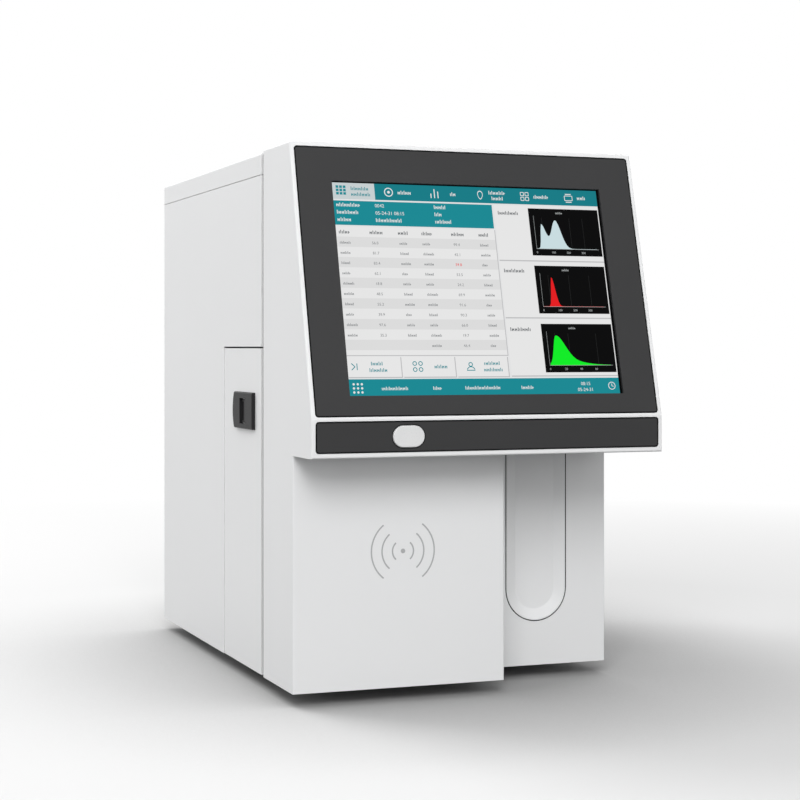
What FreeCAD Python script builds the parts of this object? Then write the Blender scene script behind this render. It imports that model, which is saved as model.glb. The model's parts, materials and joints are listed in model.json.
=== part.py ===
import FreeCAD, Part

import math
import os

# Desktop veterinary blood analyzer, in millimetres.
# X runs across the instrument, Y from front to back, Z upwards.
# The origin lies under the middle of the instrument, at the level of the feet's soles.
# Every piece is written as one STEP file, and what belongs together is placed from the same values.

V = FreeCAD.Vector
X_AXIS = V(1, 0, 0)
Y_AXIS = V(0, 1, 0)
Z_AXIS = V(0, 0, 1)

# Outer form: the display sets the width and the height of the head
screen_width = 211.2
screen_height = 157.1
screen_margin = 29.4
screen_foot = 16.55
screen_head = 28.615
face_tilt = 14.75
chin_reach = 42.6
shell_height = 390.3
shell_depth = 72.8
body_depth = 392.2
body_side_step = 0.5
body_top_step = 1.0
bay_width = 107.6
recess_depth = 49.8
foot_height = 10.0
foot_radius = 9.0
fitting_reach = 13.8

# Walls and gaps
shell_wall = 3.0
front_wall = 5.0
shell_round = 1.2
sheet = 1.5
base_sheet = 2.0
bracket_sheet = 1.2
board_sheet = 1.6
seam_width = 6.7
line_gap = 0.5
fit_gap = 0.3
run_gap = 0.05
stud_radius = 2.5

# Display stack behind its bezel
bezel_thickness = 2.0
bezel_foot = 1.55
bezel_rim = 3.0
bezel_corner = 2.5
bezel_ledge = 4.0
glass_thickness = 1.5
glass_overlap = 8.0
lcd_side_border = 12.4
lcd_foot_border = 9.9
lcd_thickness = 5.9
display_stud = 6.0
display_board_width = 124.0
display_board_height = 92.0

# Front band and start button
band_rim = 3.4
band_height = 22.2
band_ledge = 1.3
band_thickness = 2.5
pill_inset = 71.1
pill_width = 23.4
pill_height = 15.2
pill_proud = 1.0
pill_round = 0.8
pill_travel = 1.5
button_flange = 1.2
button_arm = 26.0
button_board_depth = 12.0
button_switch = 3.5

# Sampling bay, its trough and the card reader behind the sign
trough_inset = 58.9
trough_radius = 25.65
trough_centre = 59.2
trough_gap = 0.9
trough_margin = 9.5
trough_dish = 3.0
trough_flange = 2.5
probe_setback = 22.0
probe_port_radius = 6.0
sign_inset = 82.9
sign_level = 97.8
reader_width = 80.0
reader_height = 64.0
reader_stud = 5.0
stud_inset = 6.0
rib_reach = 50.0
rib_depth = 12.0

# Sheet-metal body
cover_skirt = 16.3
cover_round = 2.0
panel_round = 1.4
panel_flange = 15.0
base_flange = 15.0
foot_inset = 34.0
front_foot_setback = 121.7
screw_radius_head = 2.8
screw_head = 1.6
screw_inset = 7.0
screw_end = 33.0
vent_width = 5.0
vent_pitch = 11.0
vent_count = 7
side_slot_height = 4.0
side_slot_pitch = 9.0
side_slot_count = 8
bead_inset = 1.4
bead_depth = 6.5
lip_depth = 5.0

# Side door, its concealed hinge and its latch
door_rear = 186.3
door_height = 244.7
door_gap = 1.2
door_skin = 2.0
door_return = 8.0
door_corner = 1.5
door_rib = 4.0
hinge_inset = 6.0
hinge_levels = (30.0, 205.0)
hinge_height = 12.0
hinge_pin_radius = 1.5
hinge_barrel_radius = 3.0
latch_front = 96.5
latch_rear = 147.4
latch_bow = 3.6
latch_bottom = 182.0
latch_top = 210.0
latch_proud = 2.7
slot_front = 115.4
slot_rear = 130.8
slot_bottom = 185.8
slot_top = 205.2
button_clear = 0.7
latch_travel = 3.0
tongue_thickness = 3.0
tongue_height = 12.0
tongue_inset = 5.6
tongue_bite = 2.5
rail_front = 88.0
rail_rear = 146.0

# Sampling unit
frame_offset = 36.1
rod_offset = 14.0
rod_radius = 4.0
lower_rod_rise = 54.2
upper_rod_rise = 112.2
frame_margin = 12.0
y_travel = 148.0
carriage_front = 24.0
carriage_rear = 58.0
carriage_plate_offset = 9.0
plate = 3.0
wipe_rise = 5.4
wipe_height = 10.8
wipe_half = 8.0
carriage_top_rise = 132.2
z_rod_radius = 2.5
z_rod_pitch = 20.0
z_rod_setback = 31.0
z_drive_offset = 3.1
z_block_height = 26.0
screw_radius = 3.0
small_motor = 28.0
small_motor_length = 31.0
motor_corner = 3.0
shaft_room = 1.0
probe_radius = 0.8
probe_bore = 0.4
probe_hub = 2.0

# Baths
bath_pitch = 43.0
bath_depth = 64.0
bath_radius = 9.0
bath_wall = 13.0
bath_floor = 12.0
bath_cone = 10.0
bath_drain = 1.5

# Fluid compartment behind the door
service_depth = 56.5
bulkhead_setback = 9.0
bulkhead_clear = 45.0
bulkhead_height = 315.0
bulkhead_foot = 14.0
valve_count = 6
valve_pitch = 13.4
valve_level = 18.0
valve_length = 28.0
valve_width = 11.5
valve_height = 22.0
manifold_depth = 12.0
port_radius = 1.6
port_depth = 6.0
syringe_reach = 20.0
syringe_level = 92.0
syringe_height = 118.0
syringe_width = 60.0
shelf_reach = 15.0
barrel_offset = 18.0
barrel_bores = (8.0, 5.0)
barrel_wall = 2.0
barrel_length = 62.0
barrel_neck = 2.0
neck_height = 6.0
guide_offset = 12.0
guide_radius = 2.5
pump_y = 169.0
pump_level = 122.0
pump_radius = 18.5
pump_wall = 3.0
pump_depth = 20.0
roller_radius = 3.4
roller_orbit = 8.7
loop_orbit = 13.95

# Vacuum side: two diaphragm pumps and a chamber
pump_offset = 16.0
pump_spacing = 46.0
pump_setback = 58.0
pump_width = 30.0
pump_head_length = 26.0
pump_head_height = 36.0
pump_motor_length = 26.0
pump_motor_radius = 13.0
pump_motor_rise = 16.0
pump_foot = 4.0
stub_radius = 2.2
stub_height = 10.0
stub_offset = 7.0
chamber_offset = 46.0
chamber_setback = 70.0
chamber_radius = 22.0
chamber_height = 92.0
chamber_wall = 2.5
chamber_rim = 2.0
chamber_lid = 6.0

# Tubing
tail_radius = 2.2
line_radius = 1.5
bend_radius = 5.0

# Rear side
fan_size = 60.0
fan_depth = 15.0
fan_inset = 74.5
fan_drop = 89.3
fan_wall = 2.0
fan_hub = 12.0
fan_blades = 7
blade_turn = 38.0
grille_slots = 8
grille_pitch = 10.0
inlet_inset = 50.5
inlet_level = 96.0
inlet_depth = 26.0
socket_inset = 30.5
fitting_inset = 36.5
fitting_pitch = 18.0
fitting_level = 40.0
fitting_count = 4
spigot_radius = 2.5
spigot_flange = 3.0
tail_depth = 28.0
rocker_setback = 1.5
rocker_depth = 3.0
rocker_tilt = 8.0

# Electronics
board_gap = 8.0
board_width = 142.0
board_height = 142.0
board_rear = 54.0
board_level = 144.0
supply_width = 104.0
supply_depth = 92.0
supply_height = 39.0
supply_inset = 15.0
supply_rear = 36.0
supply_foot = 6.0

# Worked out from the sizes above
tilt = math.radians(face_tilt)
half = screen_width / 2 + screen_margin
body_half = half - body_side_step
inside = body_half - sheet
base_z = foot_height
floor_z = base_z + base_sheet
shell_top = base_z + shell_height
cover_top = shell_top - body_top_step
skirt_z = cover_top - cover_skirt
face_length = screen_foot + screen_height + screen_head
face_z = shell_top - face_length * math.cos(tilt)
head_z = face_z - band_rim - band_height - band_ledge
chin_y = -(chin_reach + body_depth + fitting_reach) / 2
panel_y = chin_y + chin_reach
recess_y = panel_y + recess_depth
seam_y = panel_y + shell_depth
body_y = seam_y + seam_width
rear_y = panel_y + body_depth
panel_face = rear_y - sheet
bay_left = half - bay_width
trough_x = half - trough_inset
sign_x = -half + sign_inset
probe_x = trough_x
probe_y = panel_y + probe_setback

os.makedirs("parts", exist_ok=True)


def export(name, *shapes):
    shape = shapes[0] if len(shapes) == 1 else Part.makeCompound(list(shapes))
    shape.exportStep("parts/" + name + ".step")


def box(x0, x1, y0, y1, z0, z1):
    return Part.makeBox(x1 - x0, y1 - y0, z1 - z0, V(x0, y0, z0))


def rod(radius, start, direction, length):
    return Part.makeCylinder(radius, length, start, direction)


def fuse(shapes):
    joined = shapes[0].multiFuse(list(shapes[1:])).removeSplitter()
    return joined.Solids[0] if len(joined.Solids) == 1 else joined


def cut(shape, tools):
    left = shape.cut(list(tools)).removeSplitter()
    return left.Solids[0] if len(left.Solids) == 1 else left


def prism(points, direction):
    """Solid of a straight-sided outline pushed along one direction."""
    return Part.Face(Part.makePolygon(points + points[:1])).extrude(direction)


def round_edges(shape, direction, radius, keep=lambda edge: True):
    """Round the straight edges that run along one direction."""
    chosen = []
    for edge in shape.Edges:
        if edge.Curve.TypeId != "Part::GeomLine":
            continue
        along = edge.Vertexes[-1].Point - edge.Vertexes[0].Point
        if abs(abs(along.dot(direction)) - edge.Length) < 1e-6 and keep(edge):
            chosen.append(edge)
    return shape.makeFillet(radius, chosen)


def slab(x0, x1, z0, z1, y0, y1, corner):
    """Upright plate with rounded corners, thickness along Y."""
    return round_edges(box(x0, x1, y0, y1, z0, z1), Y_AXIS, corner)


def pill(x, z, width, height, y0, y1):
    """Upright plate with round ends, thickness along Y."""
    reach = (width - height) / 2
    ends = [rod(height / 2, V(x + side * reach, y0, z), Y_AXIS, y1 - y0) for side in (-1, 1)]
    return fuse([box(x - reach, x + reach, y0, y1, z - height / 2, z + height / 2)] + ends)


def u_outline(radius, top, y):
    """Closed U-shaped outline of the trough, upright at one depth."""
    centre_z = base_z + trough_centre
    left_top = V(trough_x - radius, y, top)
    right_top = V(trough_x + radius, y, top)
    left = V(trough_x - radius, y, centre_z)
    right = V(trough_x + radius, y, centre_z)
    bottom = V(trough_x, y, centre_z - radius)
    return Part.Wire([
        Part.LineSegment(left_top, left).toShape(),
        Part.Arc(left, bottom, right).toShape(),
        Part.LineSegment(right, right_top).toShape(),
        Part.LineSegment(right_top, left_top).toShape(),
    ])


def u_plate(radius, top, y0, y1):
    return Part.Face(u_outline(radius, top, y0)).extrude(V(0, y1 - y0, 0))


def tube(points, radius, bends=None):
    """Round tube along straight runs, with a tangent arc at each corner."""
    bends = bends or [bend_radius] * (len(points) - 2)
    edges = []
    start = points[0]
    for before, corner, after, bend in zip(points, points[1:], points[2:], bends):
        to_before = (before - corner).normalize()
        to_after = (after - corner).normalize()
        half_turn = to_before.getAngle(to_after) / 2
        reach = bend / math.tan(half_turn)
        middle = (to_before + to_after).normalize() * (bend / math.sin(half_turn) - bend)
        arc_start = corner + to_before * reach
        arc_end = corner + to_after * reach
        if (arc_start - start).Length > 1e-6:
            edges.append(Part.LineSegment(start, arc_start).toShape())
        edges.append(Part.Arc(arc_start, corner + middle, arc_end).toShape())
        start = arc_end
    edges.append(Part.LineSegment(start, points[-1]).toShape())
    ring = Part.Wire(Part.makeCircle(radius, points[0], points[1] - points[0]))
    return Part.Wire(edges).makePipeShell([ring], True, False)


def motor(centre, direction, length):
    """Square motor body that starts at one point and runs along one axis, with room for the screw's end."""
    side = small_motor / 2
    low = V(centre.x - side, centre.y - side, centre.z - side)
    sizes = [small_motor] * 3
    axis = [abs(direction.x), abs(direction.y), abs(direction.z)].index(1)
    sizes[axis] = length
    low[axis] = centre[axis] if direction[axis] > 0 else centre[axis] - length
    body = round_edges(Part.makeBox(sizes[0], sizes[1], sizes[2], low), direction, motor_corner)
    return cut(body, [rod(screw_radius + shaft_room, centre, direction, 5)])


def on_face(shape):
    """Lay a piece that was drawn upright onto the tilted face of the head."""
    laid = shape.copy()
    laid.rotate(V(0, 0, 0), X_AXIS, -face_tilt)
    laid.translate(V(0, chin_y, face_z))
    return laid


# Front shell: one moulding with the head, the lower front and the sampling bay

pocket_half = half - bezel_rim
pocket_top = face_length - bezel_rim
window_half = pocket_half - bezel_ledge
band_z0 = head_z + band_rim
band_z1 = band_z0 + band_height
pill_x = -half + pill_inset
pill_z = (band_z0 + band_z1) / 2
flange_half = pill_height / 2 + 0.2
arm_post = button_arm + 7
stud_bite = 0.5
reader_posts = [
    (sign_x + i * (reader_width / 2 - stud_inset), base_z + sign_level + j * (reader_height / 2 - stud_inset))
    for i in (-1, 1) for j in (-1, 1)]


def side_profile(inset, front, bottom, back):
    """The front shell's outline seen from the side, moved inwards by its walls and pushed across."""
    slope = math.tan(tilt)
    bend_z = face_z + (front - front / math.cos(tilt)) / slope
    top_z = shell_top - inset
    top_y = chin_y + (top_z - face_z) * slope + front / math.cos(tilt)
    points = [
        (panel_y + inset, bottom),
        (panel_y + inset, head_z + inset),
        (chin_y + front, head_z + inset),
        (chin_y + front, bend_z),
        (top_y, top_z),
        (back, top_z),
        (back, bottom),
    ]
    width = half - inset
    return prism([V(-width, y, z) for y, z in points], V(2 * width, 0, 0))


def shell_edges(solid):
    """Outer edges of the head and upright edges of the lower front."""
    chosen = []
    for edge in solid.Edges:
        bounds = edge.BoundBox
        in_head = bounds.YMin < panel_y - 1 and (bounds.ZMax > head_z + 1 or bounds.XLength > half)
        on_top = bounds.ZMin > shell_top - 1 and bounds.YMin < seam_y - 1
        upright = bounds.ZMin < base_z + 1 and bounds.ZMax > head_z - 1 and bounds.YMax < recess_y + 1
        if in_head or on_top or upright:
            chosen.append(edge)
    return chosen


def front_shell():
    outer = side_profile(0, 0, base_z, seam_y)
    outer = cut(outer, [box(bay_left, half + 1, panel_y - 1, recess_y, base_z - 1, head_z)])
    outer = outer.makeFillet(shell_round, shell_edges(outer))
    hollow = side_profile(shell_wall, front_wall, base_z - 1, seam_y + 1)
    bay = box(
        bay_left - shell_wall, half, panel_y - 1, recess_y + shell_wall, base_z - 2, head_z + shell_wall)
    hollow = cut(hollow, [bay])
    bezel_pocket = slab(
        -pocket_half, pocket_half, bezel_foot, pocket_top, -1, bezel_thickness, bezel_corner)
    bezel_window = slab(
        -window_half, window_half, bezel_foot + bezel_ledge, pocket_top - bezel_ledge,
        -1, 2 * front_wall, bezel_corner)
    band_pocket = slab(
        -pocket_half, pocket_half, band_z0, band_z1, chin_y - 1, chin_y + band_thickness, bezel_corner)
    hole_half = button_arm + 3
    hole_rise = flange_half + 0.4
    button_hole = box(
        pill_x - hole_half, pill_x + hole_half, chin_y, chin_y + front_wall + 1,
        pill_z - hole_rise, pill_z + hole_rise)
    trough_hole = u_plate(trough_radius, head_z - 0.01, recess_y - 1, recess_y + shell_wall + 1)
    port = rod(probe_port_radius, V(probe_x, probe_y, head_z - 1), Z_AXIS, shell_wall + 2)
    shell = cut(outer, [
        hollow, on_face(bezel_pocket), on_face(bezel_window), band_pocket, button_hole, trough_hole, port])
    post_y = chin_y + front_wall - stud_bite
    post_length = chin_y + button_board_depth - post_y
    board_posts = [
        rod(stud_radius, V(x, post_y, pill_z), Y_AXIS, post_length)
        for x in (pill_x - arm_post, pill_x + arm_post)]
    stud_y = panel_y + shell_wall - stud_bite
    stud_length = reader_stud + stud_bite
    reader_studs = [rod(stud_radius, V(x, stud_y, z), Y_AXIS, stud_length) for x, z in reader_posts]
    ribs = [
        box(x, x + sheet, stud_y, panel_y + shell_wall + rib_depth, floor_z + 1, head_z)
        for x in (sign_x - rib_reach, sign_x + rib_reach)]
    export("front_shell", fuse([shell] + board_posts + reader_studs + ribs))


# Display stack, drawn upright with its front at Y 0, then laid on the tilted face

lcd_half = screen_width / 2 + lcd_side_border
lcd_foot = screen_foot - lcd_foot_border
lcd_head = screen_foot + screen_height + lcd_foot_border
lcd_front = bezel_thickness + glass_thickness
lcd_back = lcd_front + lcd_thickness
screen_mid = screen_foot + screen_height / 2
bracket_back = lcd_back + bracket_sheet
board_front = bracket_back + display_stud


def display():
    bezel = slab(
        -pocket_half + fit_gap, pocket_half - fit_gap, bezel_foot + fit_gap, pocket_top - fit_gap,
        0, bezel_thickness, bezel_corner - fit_gap)
    screen = box(
        -screen_width / 2, screen_width / 2, -1, bezel_thickness + 1,
        screen_foot, screen_foot + screen_height)
    export("display_bezel", on_face(cut(bezel, [screen])))

    glass = slab(
        -screen_width / 2 - glass_overlap, screen_width / 2 + glass_overlap,
        screen_foot - glass_overlap, screen_foot + screen_height + glass_overlap,
        bezel_thickness, lcd_front, 2)
    export("touch_panel", on_face(glass))

    lcd = box(-lcd_half, lcd_half, lcd_front, lcd_back, lcd_foot, lcd_head)
    export("lcd_panel", on_face(lcd))

    cup = lcd_half + fit_gap
    ear = half - shell_wall - fit_gap
    ear_back = front_wall + bracket_sheet
    cup_out = cup + bracket_sheet
    hat = [(-ear, front_wall), (-cup, front_wall), (-cup, lcd_back), (cup, lcd_back), (cup, front_wall),
           (ear, front_wall), (ear, ear_back), (cup_out, ear_back), (cup_out, bracket_back),
           (-cup_out, bracket_back), (-cup_out, ear_back), (-ear, ear_back)]
    bracket_inset = 12
    bracket = prism(
        [V(x, y, lcd_foot + bracket_inset) for x, y in hat], V(0, 0, lcd_head - lcd_foot - 2 * bracket_inset))
    hole_width = display_board_width / 2 - 17
    hole_height = display_board_height / 2 - 17.5
    window = slab(
        -hole_width, hole_width, screen_mid - hole_height, screen_mid + hole_height,
        lcd_back - 1, bracket_back + 1, 6)
    post_x = display_board_width / 2 - stud_inset - 1
    post_z = display_board_height / 2 - stud_inset
    posts = [
        rod(stud_radius, V(i * post_x, bracket_back - stud_bite, screen_mid + j * post_z), Y_AXIS,
            display_stud + stud_bite)
        for i in (-1, 1) for j in (-1, 1)]
    export("lcd_bracket", on_face(fuse([cut(bracket, [window])] + posts)))

    width = display_board_width / 2
    height = display_board_height / 2
    board_back = board_front + board_sheet
    board = box(-width, width, board_front, board_back, screen_mid - height, screen_mid + height)
    seat = board_back - 0.1
    top = screen_mid + height
    bottom = screen_mid - height
    parts = [
        box(-width + 12, -14, seat, board_back + 4, top - 18, top - 10),
        box(10, 32, seat, board_back + 2, screen_mid - 12, screen_mid + 10),
        box(-width + 14, -30, seat, board_back + 3, bottom + 8, screen_mid - 12)]
    export("display_board", on_face(fuse([board] + parts)))


def band_and_button():
    band = slab(
        -pocket_half + fit_gap, pocket_half - fit_gap, band_z0 + fit_gap, band_z1 - fit_gap,
        chin_y, chin_y + band_thickness, bezel_corner - fit_gap)
    hole = pill(
        pill_x, pill_z, pill_width + 2 * fit_gap, pill_height + 2 * fit_gap,
        chin_y - 1, chin_y + band_thickness + 1)
    export("front_band", cut(band, [hole]))

    front = chin_y - pill_proud
    flange_y = chin_y + band_thickness + fit_gap
    cap = pill(pill_x, pill_z, pill_width, pill_height, front, flange_y + button_flange)
    cap = cap.makeFillet(pill_round, [edge for edge in cap.Edges if edge.BoundBox.YMax < front + 0.01])
    flange_reach = pill_width / 2 + 1.6
    flange = slab(
        pill_x - flange_reach, pill_x + flange_reach, pill_z - flange_half, pill_z + flange_half,
        flange_y, flange_y + button_flange, 3)
    arms = slab(
        pill_x - button_arm, pill_x + button_arm, pill_z - 3, pill_z + 3,
        flange_y, flange_y + button_flange - 0.4, 1)
    board_y = chin_y + button_board_depth
    switch_y = board_y - button_switch
    stem_end = switch_y - fit_gap - pill_travel
    stem = rod(2, V(pill_x, flange_y + 1, pill_z), Y_AXIS, stem_end - flange_y - 1)
    export("start_button", fuse([cap, flange, arms, stem]))

    board_reach = arm_post + 5
    board = box(
        pill_x - board_reach, pill_x + board_reach, board_y, board_y + board_sheet, pill_z - 9, pill_z + 9)
    switch = box(pill_x - 3, pill_x + 3, switch_y, board_y + 0.1, pill_z - 3, pill_z + 3)
    export("button_board", fuse([board, switch]))


def probe_trough():
    """Dished insert of the sampling bay, whose flange seats against the back of the shell's wall."""
    top = head_z - line_gap
    seat_y = recess_y + shell_wall
    body = u_plate(trough_radius - trough_gap, top, recess_y, seat_y + trough_flange)
    flange = u_plate(trough_radius + 3, top, seat_y, seat_y + trough_flange)
    dish = Part.makeLoft([
        u_outline(trough_radius - trough_gap - 0.6, top + 1, recess_y - 0.2),
        u_outline(trough_radius - trough_margin, top + 1, recess_y + trough_dish)], True, True)
    export("probe_trough", cut(fuse([body, flange]), [dish]))


def card_reader():
    y = panel_y + shell_wall + reader_stud
    z = base_z + sign_level
    board = box(
        sign_x - reader_width / 2, sign_x + reader_width / 2, y, y + board_sheet,
        z - reader_height / 2, z + reader_height / 2)
    chip = box(sign_x - 8, sign_x + 8, y + board_sheet - 0.1, y + 2 * board_sheet, z - 8, z + 8)
    export("card_reader_board", fuse([board, chip]))


# Sheet-metal body

shell_inside = half - shell_wall - fit_gap
door_front_y = body_y + door_gap
door_rear_y = panel_y + door_rear
door_edge_y = door_rear_y - door_gap
door_top = base_z + door_height - door_gap
door_inside = -body_half + door_skin
hinge_x = -body_half + hinge_inset
hinge_y = door_edge_y - hinge_inset
sill_x = hinge_x + hinge_inset * math.sqrt(2) + 1
sill_end = door_rear_y + 4
rear_skin = rear_y - 2 * sheet
slot_y0 = panel_y + slot_front
slot_y1 = panel_y + slot_rear
slot_z0 = base_z + slot_bottom
slot_z1 = base_z + slot_top
slot_mid = (slot_z0 + slot_z1) / 2
tongue_x = -body_half + tongue_inset
tongue_tip = body_y - tongue_bite
tongue_half = tongue_height / 2
tongue_room = tongue_half + 1
main_board_x = inside - board_gap
main_board_y = (rear_y - board_rear - board_width, rear_y - board_rear)
main_board_z = (base_z + board_level, base_z + board_level + board_height)
main_board_posts = [
    (y, z) for y in (main_board_y[0] + stud_inset, main_board_y[1] - stud_inset)
    for z in (main_board_z[0] + stud_inset, main_board_z[1] - stud_inset)]
fan_x = -body_half + fan_inset
fan_z = cover_top - fan_drop
inlet_x = body_half - inlet_inset
inlet_z = base_z + inlet_level
socket_x = body_half - socket_inset
socket_sizes = [(16.2, 13.8, base_z + 252), (14.0, 16.0, base_z + 228), (13.0, 31.4, base_z + 196)]
fitting_z = base_z + fitting_level
fitting_places = [-body_half + fitting_inset + index * fitting_pitch for index in range(fitting_count)]


def base_plate():
    front_y = panel_y + shell_wall + fit_gap
    step_y = recess_y + shell_wall + fit_gap
    step_x = bay_left - shell_wall - fit_gap
    outline = [
        V(-shell_inside, front_y, base_z), V(step_x, front_y, base_z), V(step_x, step_y, base_z),
        V(shell_inside, step_y, base_z), V(shell_inside, body_y + line_gap, base_z),
        V(inside, body_y + line_gap, base_z), V(inside, rear_skin, base_z), V(-inside, rear_skin, base_z),
        V(-inside, sill_end, base_z), V(sill_x, sill_end, base_z), V(sill_x, body_y, base_z),
        V(-shell_inside, body_y, base_z)]
    bottom = prism(outline, V(0, 0, base_sheet))
    top = base_z + base_flange
    right = box(inside - sheet, inside, body_y + line_gap, rear_skin, base_z, top)
    left = box(-inside, -inside + sheet, sill_end, rear_skin, base_z, top)
    sill = box(sill_x, sill_x + sheet, body_y, sill_end, base_z, top)
    rear = box(-inside, inside, rear_skin - sheet, rear_skin, base_z, top)
    vents = []
    for index in range(vent_count):
        x = inside - supply_inset - supply_width + 16 + index * vent_pitch
        vent = box(x, x + vent_width, rear_y - 110, rear_y - 50, base_z - 1, floor_z + 1)
        vents.append(round_edges(vent, Z_AXIS, vent_width * 0.48))
    export("base_plate", cut(fuse([bottom, right, left, sill, rear]), vents))


def side_panel(side):
    """Bent side panel with its rear flange."""
    outer = side * body_half
    inner = side * inside
    flange = side * (body_half - panel_flange)
    top = skirt_z - line_gap
    skin = box(min(outer, inner), max(outer, inner), body_y + line_gap, rear_y, base_z, top)
    back = box(min(outer, flange), max(outer, flange), panel_face, rear_y, base_z, top)
    return round_edges(
        fuse([skin, back]), Z_AXIS, panel_round,
        lambda edge: edge.BoundBox.YMin > rear_y - 0.01 and abs(edge.BoundBox.XMin - outer) < 0.01)


def side_panels():
    opening = box(-half, -inside + 1, body_y - 1, door_rear_y, base_z - 1, base_z + door_height)
    export("left_side_panel", cut(side_panel(-1), [opening]))

    slots = []
    for row in range(side_slot_count):
        z = base_z + 60 + row * side_slot_pitch
        slot = box(inside - 1, half, rear_y - 120, rear_y - 50, z, z + side_slot_height)
        slots.append(round_edges(slot, X_AXIS, side_slot_height * 0.475))
    bosses = [
        rod(3, V(main_board_x, y, z), X_AXIS, board_gap + stud_bite) for y, z in main_board_posts]
    export("right_side_panel", fuse([cut(side_panel(1), slots)] + bosses))


def top_cover():
    tray = box(-body_half, body_half, body_y + line_gap, rear_y, skirt_z, cover_top)
    tray = round_edges(tray, Y_AXIS, cover_round, lambda edge: edge.BoundBox.ZMin > cover_top - 0.01)
    tray = round_edges(
        tray, X_AXIS, panel_round,
        lambda edge: edge.BoundBox.YMin > rear_y - 0.01 and edge.BoundBox.ZMin > cover_top - 0.01)
    hollow = box(-inside, inside, body_y, panel_face, skirt_z - 1, cover_top - sheet)
    export("top_cover", cut(tray, [hollow]))


def mid_frame():
    """Rounded bead between the shell and the sheet-metal body, with a lip behind each."""
    x = half - bead_inset
    top = shell_top - bead_inset
    bead = box(-x, x, seam_y, body_y, base_z, top)
    bead = round_edges(bead, Y_AXIS, cover_round, lambda edge: edge.BoundBox.ZMin > top - 0.01)
    edges = [
        edge for edge in bead.Edges
        if edge.BoundBox.YLength < 0.01 and edge.BoundBox.ZMax > base_z + 1 and edge.Length > 0.5]
    bead = bead.makeFillet(panel_round, edges)
    opening = box(-x + bead_depth, x - bead_depth, seam_y - 1, body_y + 1, base_z - 1, top - bead_depth)
    front_lip = box(
        -shell_inside, shell_inside, seam_y - lip_depth, seam_y,
        floor_z + fit_gap, shell_top - shell_wall - fit_gap)
    rear_lip = box(
        -inside + fit_gap, inside - fit_gap, body_y, body_y + lip_depth, base_z + base_flange + 1,
        cover_top - sheet - fit_gap)
    behind = body_y + lip_depth + 1
    before = seam_y - lip_depth - 1
    lip_hollow = box(-x + bead_depth, x - bead_depth, before, behind, base_z - 1, top - bead_depth)
    door_room = box(-half, sill_x - door_gap + 0.5, body_y, behind, base_z, base_z + door_height + fit_gap)
    keeper_notch = box(
        tongue_x - fit_gap, -x + bead_depth + 1, tongue_tip - 1, behind,
        slot_mid - tongue_room, slot_mid + tongue_room)
    floor_room = box(-half, half, before, behind, base_z - 1, floor_z + fit_gap)
    ring = cut(bead, [opening])
    lips = [cut(front_lip, [lip_hollow, floor_room]), cut(rear_lip, [lip_hollow, door_room])]
    export("mid_frame", cut(fuse([ring] + lips), [floor_room, keeper_notch]))


def rear_panel():
    before = rear_skin - 1
    panel = box(-inside + fit_gap, inside - fit_gap, rear_skin, panel_face, base_z + fit_gap, skirt_z + 8)
    inlet = box(inlet_x - 14, inlet_x + 14, before, rear_y, inlet_z - 34, inlet_z + 12)
    fan_hole = rod(fan_size / 2 - fan_wall, V(fan_x, before, fan_z), Y_AXIS, 4)
    barbs = [rod(4.2, V(x, before, fitting_z), Y_AXIS, 4) for x in fitting_places]
    sockets = [
        box(socket_x - width / 2, socket_x + width / 2, before, rear_y, z - height / 2, z + height / 2)
        for width, height, z in socket_sizes]
    slots = []
    for index in range(grille_slots):
        x = fan_x + fan_size + index * grille_pitch
        slots.append(slab(x, x + 4, fan_z - fan_size / 2, fan_z + fan_size / 2, before, rear_y, 1.9))
    export("rear_panel", cut(panel, [inlet, fan_hole] + barbs + sockets + slots))


def feet_and_screws():
    feet = []
    for x in (-half + foot_inset, half - foot_inset):
        for y in (panel_y + front_foot_setback, rear_y - foot_inset):
            foot = Part.makeCone(foot_radius, foot_radius + 1.5, foot_height, V(x, y, 0), Z_AXIS)
            feet.append(cut(foot, [rod(3.4, V(x, y, -1), Z_AXIS, foot_height - 3)]))
    export("rubber_feet", *feet)

    lowest = base_z + 40
    highest = skirt_z - screw_end
    screws = []
    for side in (-1, 1):
        for z in (lowest, (lowest + highest) / 2, highest):
            place = V(side * (body_half - screw_inset), rear_y, z)
            head = rod(screw_radius_head, place, Y_AXIS, screw_head)
            rim = [edge for edge in head.Edges if edge.BoundBox.YMin > rear_y + 1]
            screws.append(head.makeChamfer(0.5, rim))
    export("case_screws", *screws)


# Side door with a concealed hinge and a push latch

wedge_length = tongue_thickness + 1
wedge_half = tongue_half - 2.8
hinge_reach = hinge_inset - sheet


def latch_rail(z, side):
    """Rail with a back step and a lip that holds one edge of the tongue."""
    near = z
    far = z + side * 4
    lip = z - side * 2
    x0 = door_inside - stud_bite
    x1 = tongue_x + tongue_thickness + fit_gap
    x2 = x1 + 1.2
    rail_y = panel_y + rail_front
    outline = [
        V(x0, rail_y, far), V(x2, rail_y, far), V(x2, rail_y, lip), V(x1, rail_y, lip),
        V(x1, rail_y, near), V(tongue_x - fit_gap, rail_y, near), V(tongue_x - fit_gap, rail_y, lip),
        V(x0, rail_y, lip)]
    return prism(outline, V(0, rail_rear - rail_front, 0))


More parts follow.
